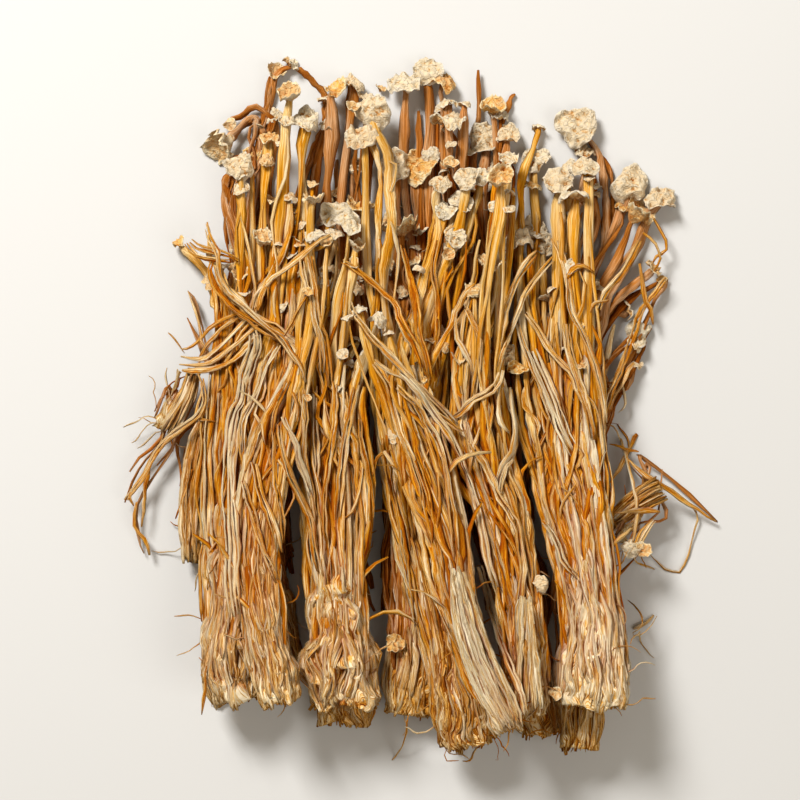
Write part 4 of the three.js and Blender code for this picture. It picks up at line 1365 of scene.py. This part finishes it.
def corners_round(corners, angle):
    """A value at some angles that runs straight from corner to corner."""
    place = angle / (2 * math.pi) * len(corners)
    low = place.astype(int) % len(corners)
    return mix(corners[low], corners[(low + 1) % len(corners)], place - place.astype(int))


def cap_lobes(seed, angle):
    """How far a cap's rim reaches at some angles, with the same corners as the cap of the solid."""
    corners = [CAP_CRUMPLE * (2 * chance(seed + 10, turn + 20) - 1) for turn in range(CAP_SIDES)]
    return 1 + corners_round(np.array(corners), angle)


def crumple(flat, radius, seed):
    """How a round sheet folds as it shrinks: how each of its points is moved, and how high it stands."""
    moved, stands = np.empty((len(flat), 3)), np.empty(len(flat))
    offset = Vector((seed % 97, seed % 31, seed % 13))
    for n, (x, y) in enumerate(flat):
        spot = Vector((x, y, 0))
        bend = noise.noise_vector(spot * (0.9 / radius) + offset)
        fold = 1 - 3.2 * abs(noise.noise(spot * (1.9 / radius) + offset + bend * 0.3))
        wrinkle = 1 - 3.2 * abs(noise.noise(spot * 0.85 - offset + bend * 0.4))
        stands[n] = 0.6 * fold + 0.4 * wrinkle
        moved[n] = (0.3 * bend.x * radius, 0.3 * bend.y * radius, 0.44 * bend.z * radius)
        moved[n, 2] += 0.24 * radius * fold + min(0.34, 0.12 * radius) * wrinkle
    return moved, stands


def add_cap(mass, form, end, before, width, tilt, seed, brown):
    random = np.random.default_rng(int(seed))
    radius = width / 2 * CAP_SWELL
    around = next((sides for least, sides in (LARGE_CAP, MIDDLING_CAP) if width > least), SMALL_CAP_SIDES)
    rings = around * 2 // 3
    profile = on_line(PROFILES[form], np.linspace(0, 1, rings + 2))[1:-1]
    angle = np.arange(around) * 2 * math.pi / around
    out, high = profile[:, :1], profile[:, 1:]
    lobes = cap_lobes(seed, angle) + corners_round(random.uniform(-0.13, 0.13, 9), angle)
    curl = corners_round(random.uniform(-0.55, 0.65, 7), angle)
    pleats = 0.035 * np.cos(random.integers(7, 12) * angle + 1.5 * np.sin(2 * angle + random.uniform(0, 6)))
    warp = random.uniform(0.1, 0.3) * np.cos(2 * angle + random.uniform(0, 6))
    reach = out * mix(1, (lobes + pleats)[None, :], out**2)
    rise = high + warp[None, :] * out**2 + (curl + pleats)[None, :] * np.maximum(0, out - 0.55) ** 2 * 3.5
    local = np.stack([reach * np.cos(angle), reach * np.sin(angle), rise], -1).reshape(-1, 3) * radius
    ends = [(0, 0, PROFILES[form][0][1] * radius), (0, 0, PROFILES[form][-1][1] * radius)]
    local = np.concatenate([local, ends])
    rim = np.concatenate([np.repeat(profile[:, 0], around), [0, 0]])
    upper = np.concatenate([np.repeat(np.arange(rings) < rings * UPPER_SHARE, around), [True, False]])
    moved, stands = crumple(local[:, :2], radius, seed)
    local = local + moved * (0.3 + 0.7 * rim[:, None])
    gills = np.concatenate([np.tile(np.arange(around) % 2, rings) * 1.2 - 0.6, [0, 0]])
    # The heights of the folds become painted highlight on their ridges and painted shade in their valleys;
    # underneath, gill stripes are mixed in.
    creases = np.where(upper, stands, mix(stands, gills, 0.6))

    heading = np.array(end) - np.array(before)
    heading[2] = 0
    heading /= np.linalg.norm(heading) + 1e-9
    lean = math.radians(tilt)
    axis = Vector(heading * math.cos(lean) + np.array([0, 0, math.sin(lean)]))
    turned = np.array(axis.to_track_quat("Z", "Y").to_matrix())
    points = local @ turned.T + np.array(end)
    points[:, 2] += max(0, LOWEST - points[:, 2].min()) - max(0, points[:, 2].max() - HIGHEST)
    under = (upper if form == "trumpet" else ~upper).astype(float)
    faces = tube_faces(rings, around)
    mass.add(points, faces, tone=np.full(len(points), float(brown)), fold=creases, rim=rim, under=under)


crumpled_cap = Finish("crumpled_cap", Specular_IOR_Level=0.2)
place = crumpled_cap.node("ShaderNodeTexCoord", output="Object")


def cap_noise(scale, detail):
    inputs = {"Vector": place, "Scale": scale, "Detail": detail, "Distortion": 0.4}
    return crumpled_cap.node("ShaderNodeTexNoise", {}, inputs)


speckle = cap_noise(1100.0, 5.0)
clouds = cap_noise(260.0, 3.0)


def thin_lines(scale, sharpness):
    """Thin winding lines, 1 on a line and 0 beside it."""
    off = crumpled_cap.node("ShaderNodeMath", {"operation": "ABSOLUTE"}, {0: cap_noise(scale, 2.0) - 0.5})
    return 1.0 - crumpled_cap.node("ShaderNodeMath", {"operation": "MINIMUM"}, {0: off * sharpness, 1: 1.0})


ridges = thin_lines(620.0, 13.0)
cracks = thin_lines(380.0, 22.0)
lip = {"Value": crumpled_cap.mark("rim"), 1: 0.86, 2: 0.98, 3: 0.0, 4: 0.4}
lip = crumpled_cap.node("ShaderNodeMapRange", {}, lip)
# The fold mark gives painted highlight on the crumpled ridges and painted shade in their valleys.
crease = 0.41 + crumpled_cap.mark("fold") * 0.29 + ridges * 0.26 - cracks * 0.26 + lip
crease = crease + (speckle - 0.5) * 0.3 + (clouds - 0.5) * 0.22
CREAM = [
    (0.0, paint("84420E")),
    (0.2, paint("B4884E")),
    (0.42, paint("CCBC9C")),
    (0.95, paint("D4CAB8")),
]
AMBER = [
    (0.0, paint("7E3D0B")),
    (0.3, paint("B8721A")),
    (0.6, paint("D0A052")),
    (1.0, paint("E2D1A8")),
]
cream = crumpled_cap.node("ShaderNodeValToRGB", {"stops": CREAM}, {"Fac": crease})
amber = crumpled_cap.node("ShaderNodeValToRGB", {"stops": AMBER}, {"Fac": crease})
brownness = crumpled_cap.mark("tone") + (clouds - 0.5) * 1.2 * crumpled_cap.mark("tone")
gills = crumpled_cap.mark("under") * 0.7
browner = {"operation": "MAXIMUM", "use_clamp": True}
share = crumpled_cap.node("ShaderNodeMath", browner, {0: brownness, 1: gills})
colour = crumpled_cap.blend(share, cream, amber)
# Painted shade: the caps are multiplied toward tan where the bunch crowds round them.
sheltered = crumpled_cap.mark("sheltered")
crumpled_cap.shade("Base Color", crumpled_cap.blend(sheltered * 0.7, colour, paint("D8A468"), "MULTIPLY"))
crumpled_cap.shade("Roughness", 0.7 + speckle * 0.25)
bump = {"Strength": 0.8, "Distance": 0.0003, "Height": speckle * 0.6 + ridges - cracks * 0.4}
crumpled_cap.shade("Normal", crumpled_cap.node("ShaderNodeBump", {}, bump))

# Where the caps are that have dried amber all over.
AMBER_CAPS = (
    (-38, 62.5), (-56, 40), (-16.9, 78), (-33, 65.8), (4.5, 59), (-10, 48), (0.5, 42.8), (25, 54.3),
    (60, 46.5), (64.3, 33.3), (23.5, 73.5), (17.1, 23.4), (11, 80.5),
)

for number, clump in enumerate(CLUMPS):
    random = np.random.default_rng(700 + number)
    mass = Mass()
    for one in clump["stems"]:
        if one["width"]:
            brown = random.uniform(0.6, 0.95) if tuple(one["at"]) in AMBER_CAPS else random.uniform(0, 0.25)
            before, end = one["path"][-2:]
            add_cap(mass, one["form"], end, before, one["width"], one["tilt"], one["seed"], brown)
    for n, (owner, path, width, tilt) in enumerate(small_caps):
        if owner == clump["name"]:
            brown = random.uniform(0, 1) ** 2
            form = "trumpet" if n % 4 == 0 else "button"
            add_cap(mass, form, path[-1], path[-2], width, tilt, 5000 + n, brown)
    if mass.count:
        mass.build("caps_" + clump["name"], crumpled_cap.material)


# The caps that have come off and lie on the stems and feet. They are the same dried sheets as the others.
# Each row is a place, a width, how far it looks up and how brown it is.
LYING_CAPS = [
    (-1.5, -61.5, 4.6, 60, 0.9), (-23, 26.3, 2.4, 60, 0.9), (34.5, -45.3, 3.6, 60, 0.3),
    (37.8, -72.2, 2.8, 60, 0.2), (57.3, -37, 4.2, 60, 0.1), (60.3, -38.3, 3.8, 60, 0.1),
    (29.3, 8, 4, 60, 1), (-34.5, 39.5, 4.4, 25, 0.5), (-33.5, 60, 3.2, 55, 0.7),
    (-11.8, 73, 2.8, 40, 0.2), (-14.3, 11.3, 2.6, 60, 0.2), (-22.8, 0.3, 1.8, 50, 0.3),
    (12.5, 64, 2.6, 40, 0.2), (12.8, 58.8, 2.8, 60, 0.4), (4.8, 32.5, 2.6, 50, 0.2),
    (12, 35.8, 2.4, 60, 0.1), (33.8, 54, 3.8, 12, 0.9), (-5, 79, 2.4, 30, 0.5),
]


def top_near(x, y, reach):
    """The height in millimetres of the highest thing that stands near a spot."""
    spot = (np.array([x, y]) - MIDDLE[:2]) * MILLIMETRE
    tops = [0.0]
    for mesh, points, faces in dried:
        near = np.hypot(*(points[:, :2] - spot).T) < reach * MILLIMETRE
        tops.append(points[near, 2].max(initial=0) / MILLIMETRE)
    return max(tops)


mass = Mass()
for n, (x, y, width, tilt, brown) in enumerate(LYING_CAPS):
    end = np.array([x, y, top_near(x, y, 0.3 * width + 0.7) + 0.13 * width])
    add_cap(mass, "trumpet" if n % 2 else "button", end, end - (0.3, 1, 0), width, tilt, 800 + n, brown)
mass.build("lying_caps", crumpled_cap.material)


# The loose fibres. Hair-thin threads have split off the feet and lie over and beside them in loose curls.
# They are the same dried fungus as the stems.
FIBRES_A_FOOT = 12
FIBRE_STEPS = 6
FIBRE_STEP = 1.6
LOWEST_Y = -90
mass = Mass()
for number, clump in enumerate(CLUMPS):
    random = np.random.default_rng(1300 + number)
    for _ in range(FIBRES_A_FOOT):
        angle = random.uniform(0, math.pi)
        spot = np.array(around_foot(clump["steps"], random.uniform(0.02, 0.5), angle, 0.9))
        heading = random.uniform(0, 2 * math.pi)
        path = [spot]
        for _ in range(FIBRE_STEPS):
            heading += random.uniform(-0.7, 0.7)
            climb = random.uniform(-0.5, 0.1)
            spot = spot + np.array([math.cos(heading), math.sin(heading), climb]) * FIBRE_STEP
            spot[1] = max(spot[1], LOWEST_Y)
            path.append(spot)
        add_ribbon(mass, path, random, 0.4, 0.3, random.uniform(0.3, 0.9), wave=0.2, sides=4, step=1.0)
mass.build("loose_fibres", golden_stem)


# Painted shade. A stem or fold that lies deep among others is painted amber and darker, and where it faces
# sideways or down it is painted red-brown, as shade where little light reaches.
# So each point is marked with how much of the bunch is close round it. Sizes are in metres from here on.
CELL = 0.001
AROUND = 5
MARGIN = 0.006
OUTSIDE = 0.0025
corner = np.min([points.min(0) for mesh, points, faces in dried], 0) - MARGIN
size = ((np.max([points.max(0) for mesh, points, faces in dried], 0) + MARGIN - corner) / CELL).astype(int)
crowd = np.zeros(size)


def cell_of(points):
    return tuple(np.clip(((points - corner) / CELL).astype(int), 0, size - 1).T)


for mesh, points, faces in dried:
    a, b, c = (points[faces[:, n]] for n in range(3))
    area = np.linalg.norm(np.cross(b - a, c - a), axis=1) / 2
    np.add.at(crowd, cell_of((a + b + c) / 3), area / CELL**2)
for axis in (0, 1, 2, 0, 1, 2):
    total = np.cumsum(np.insert(crowd, 0, 0, axis), axis)
    count = crowd.shape[axis]
    high = np.clip(np.arange(count) + AROUND // 2 + 1, 0, count)
    low = np.clip(np.arange(count) - AROUND // 2, 0, count)
    crowd = (np.take(total, high, axis) - np.take(total, low, axis)) / AROUND
above = np.flip(np.cumsum(np.flip(crowd, 2), 2), 2)
for mesh, points, faces in dried:
    normals = np.empty(points.size)
    mesh.vertices.foreach_get("normal", normals)
    normals = normals.reshape(-1, 3)
    outside = points + normals * OUTSIDE
    near = crowd[cell_of(outside)]
    over = above[cell_of(outside + (0, 0, CELL))]
    # Painted shade where the bunch crowds round a point, and flank shade on crowded faces that look sideways
    # or down.
    sheltered = np.clip((near - 0.7) / 2.3, 0, 1) * np.clip(0.45 + over / 10, 0, 1)
    flank = np.clip((near - 0.3) / 1.5, 0, 1) * np.clip((1 - normals[:, 2]) / 0.7, 0, 1)
    for name, values in {"sheltered": sheltered, "flank": flank}.items():
        layer = mesh.attributes.new(name, "FLOAT", "POINT")
        layer.data.foreach_set("value", values)


# The floor that the bunch lies on, the light and the camera above it. The floor is plain and pale. One broad
# lamp stands at the upper left with a weaker one across from it, and the camera looks straight down.
FLOOR_REACH = 3.0
floor_mesh = bpy.data.meshes.new("floor")
corners = [(x * FLOOR_REACH, y * FLOOR_REACH, 0) for x, y in ((-1, -1), (1, -1), (1, 1), (-1, 1))]
floor_mesh.from_pydata(corners, [], [(0, 1, 2, 3)])
floor = bpy.data.objects.new("floor", floor_mesh)
bpy.context.scene.collection.objects.link(floor)
pale = Finish("pale_floor", Roughness=0.9)
pale.shade("Base Color", paint("CACBCC"))
floor_mesh.materials.append(pale.material)
floor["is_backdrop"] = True


def lamp(name, place, size, power, colour):
    light = bpy.data.lights.new(name, "AREA")
    light.size, light.energy, light.color = size, power, colour
    holder = bpy.data.objects.new(name, light)
    holder.location = place
    holder.rotation_euler = (-Vector(place)).to_track_quat("-Z", "Y").to_euler()
    bpy.context.scene.collection.objects.link(holder)


lamp("key", (-0.4, 0.6, 0.75), 0.3, 15.5, (1.0, 0.97, 0.92))
lamp("fill", (0.7, -0.4, 0.8), 0.7, 3.4, (1.0, 0.95, 0.88))
world = bpy.data.worlds.new("studio")
world.use_nodes = True
sky = world.node_tree.nodes["Background"]
sky.inputs["Color"].default_value = (1, 0.87, 0.68, 1)
sky.inputs["Strength"].default_value = 0.33
bpy.context.scene.world = world
bpy.context.scene.view_settings.view_transform = "Standard"

LENS = 100
SENSOR = 36
FRAME_WIDTH = 0.2
HEAP_MIDDLE = 0.012
camera_data = bpy.data.cameras.new("camera")
camera_data.lens, camera_data.sensor_width = LENS, SENSOR
camera = bpy.data.objects.new("camera", camera_data)
across, up = -MIDDLE[:2] * MILLIMETRE
camera.location = (across, up, LENS / SENSOR * FRAME_WIDTH + HEAP_MIDDLE)
bpy.context.scene.collection.objects.link(camera)
bpy.context.scene.camera = camera

low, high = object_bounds()
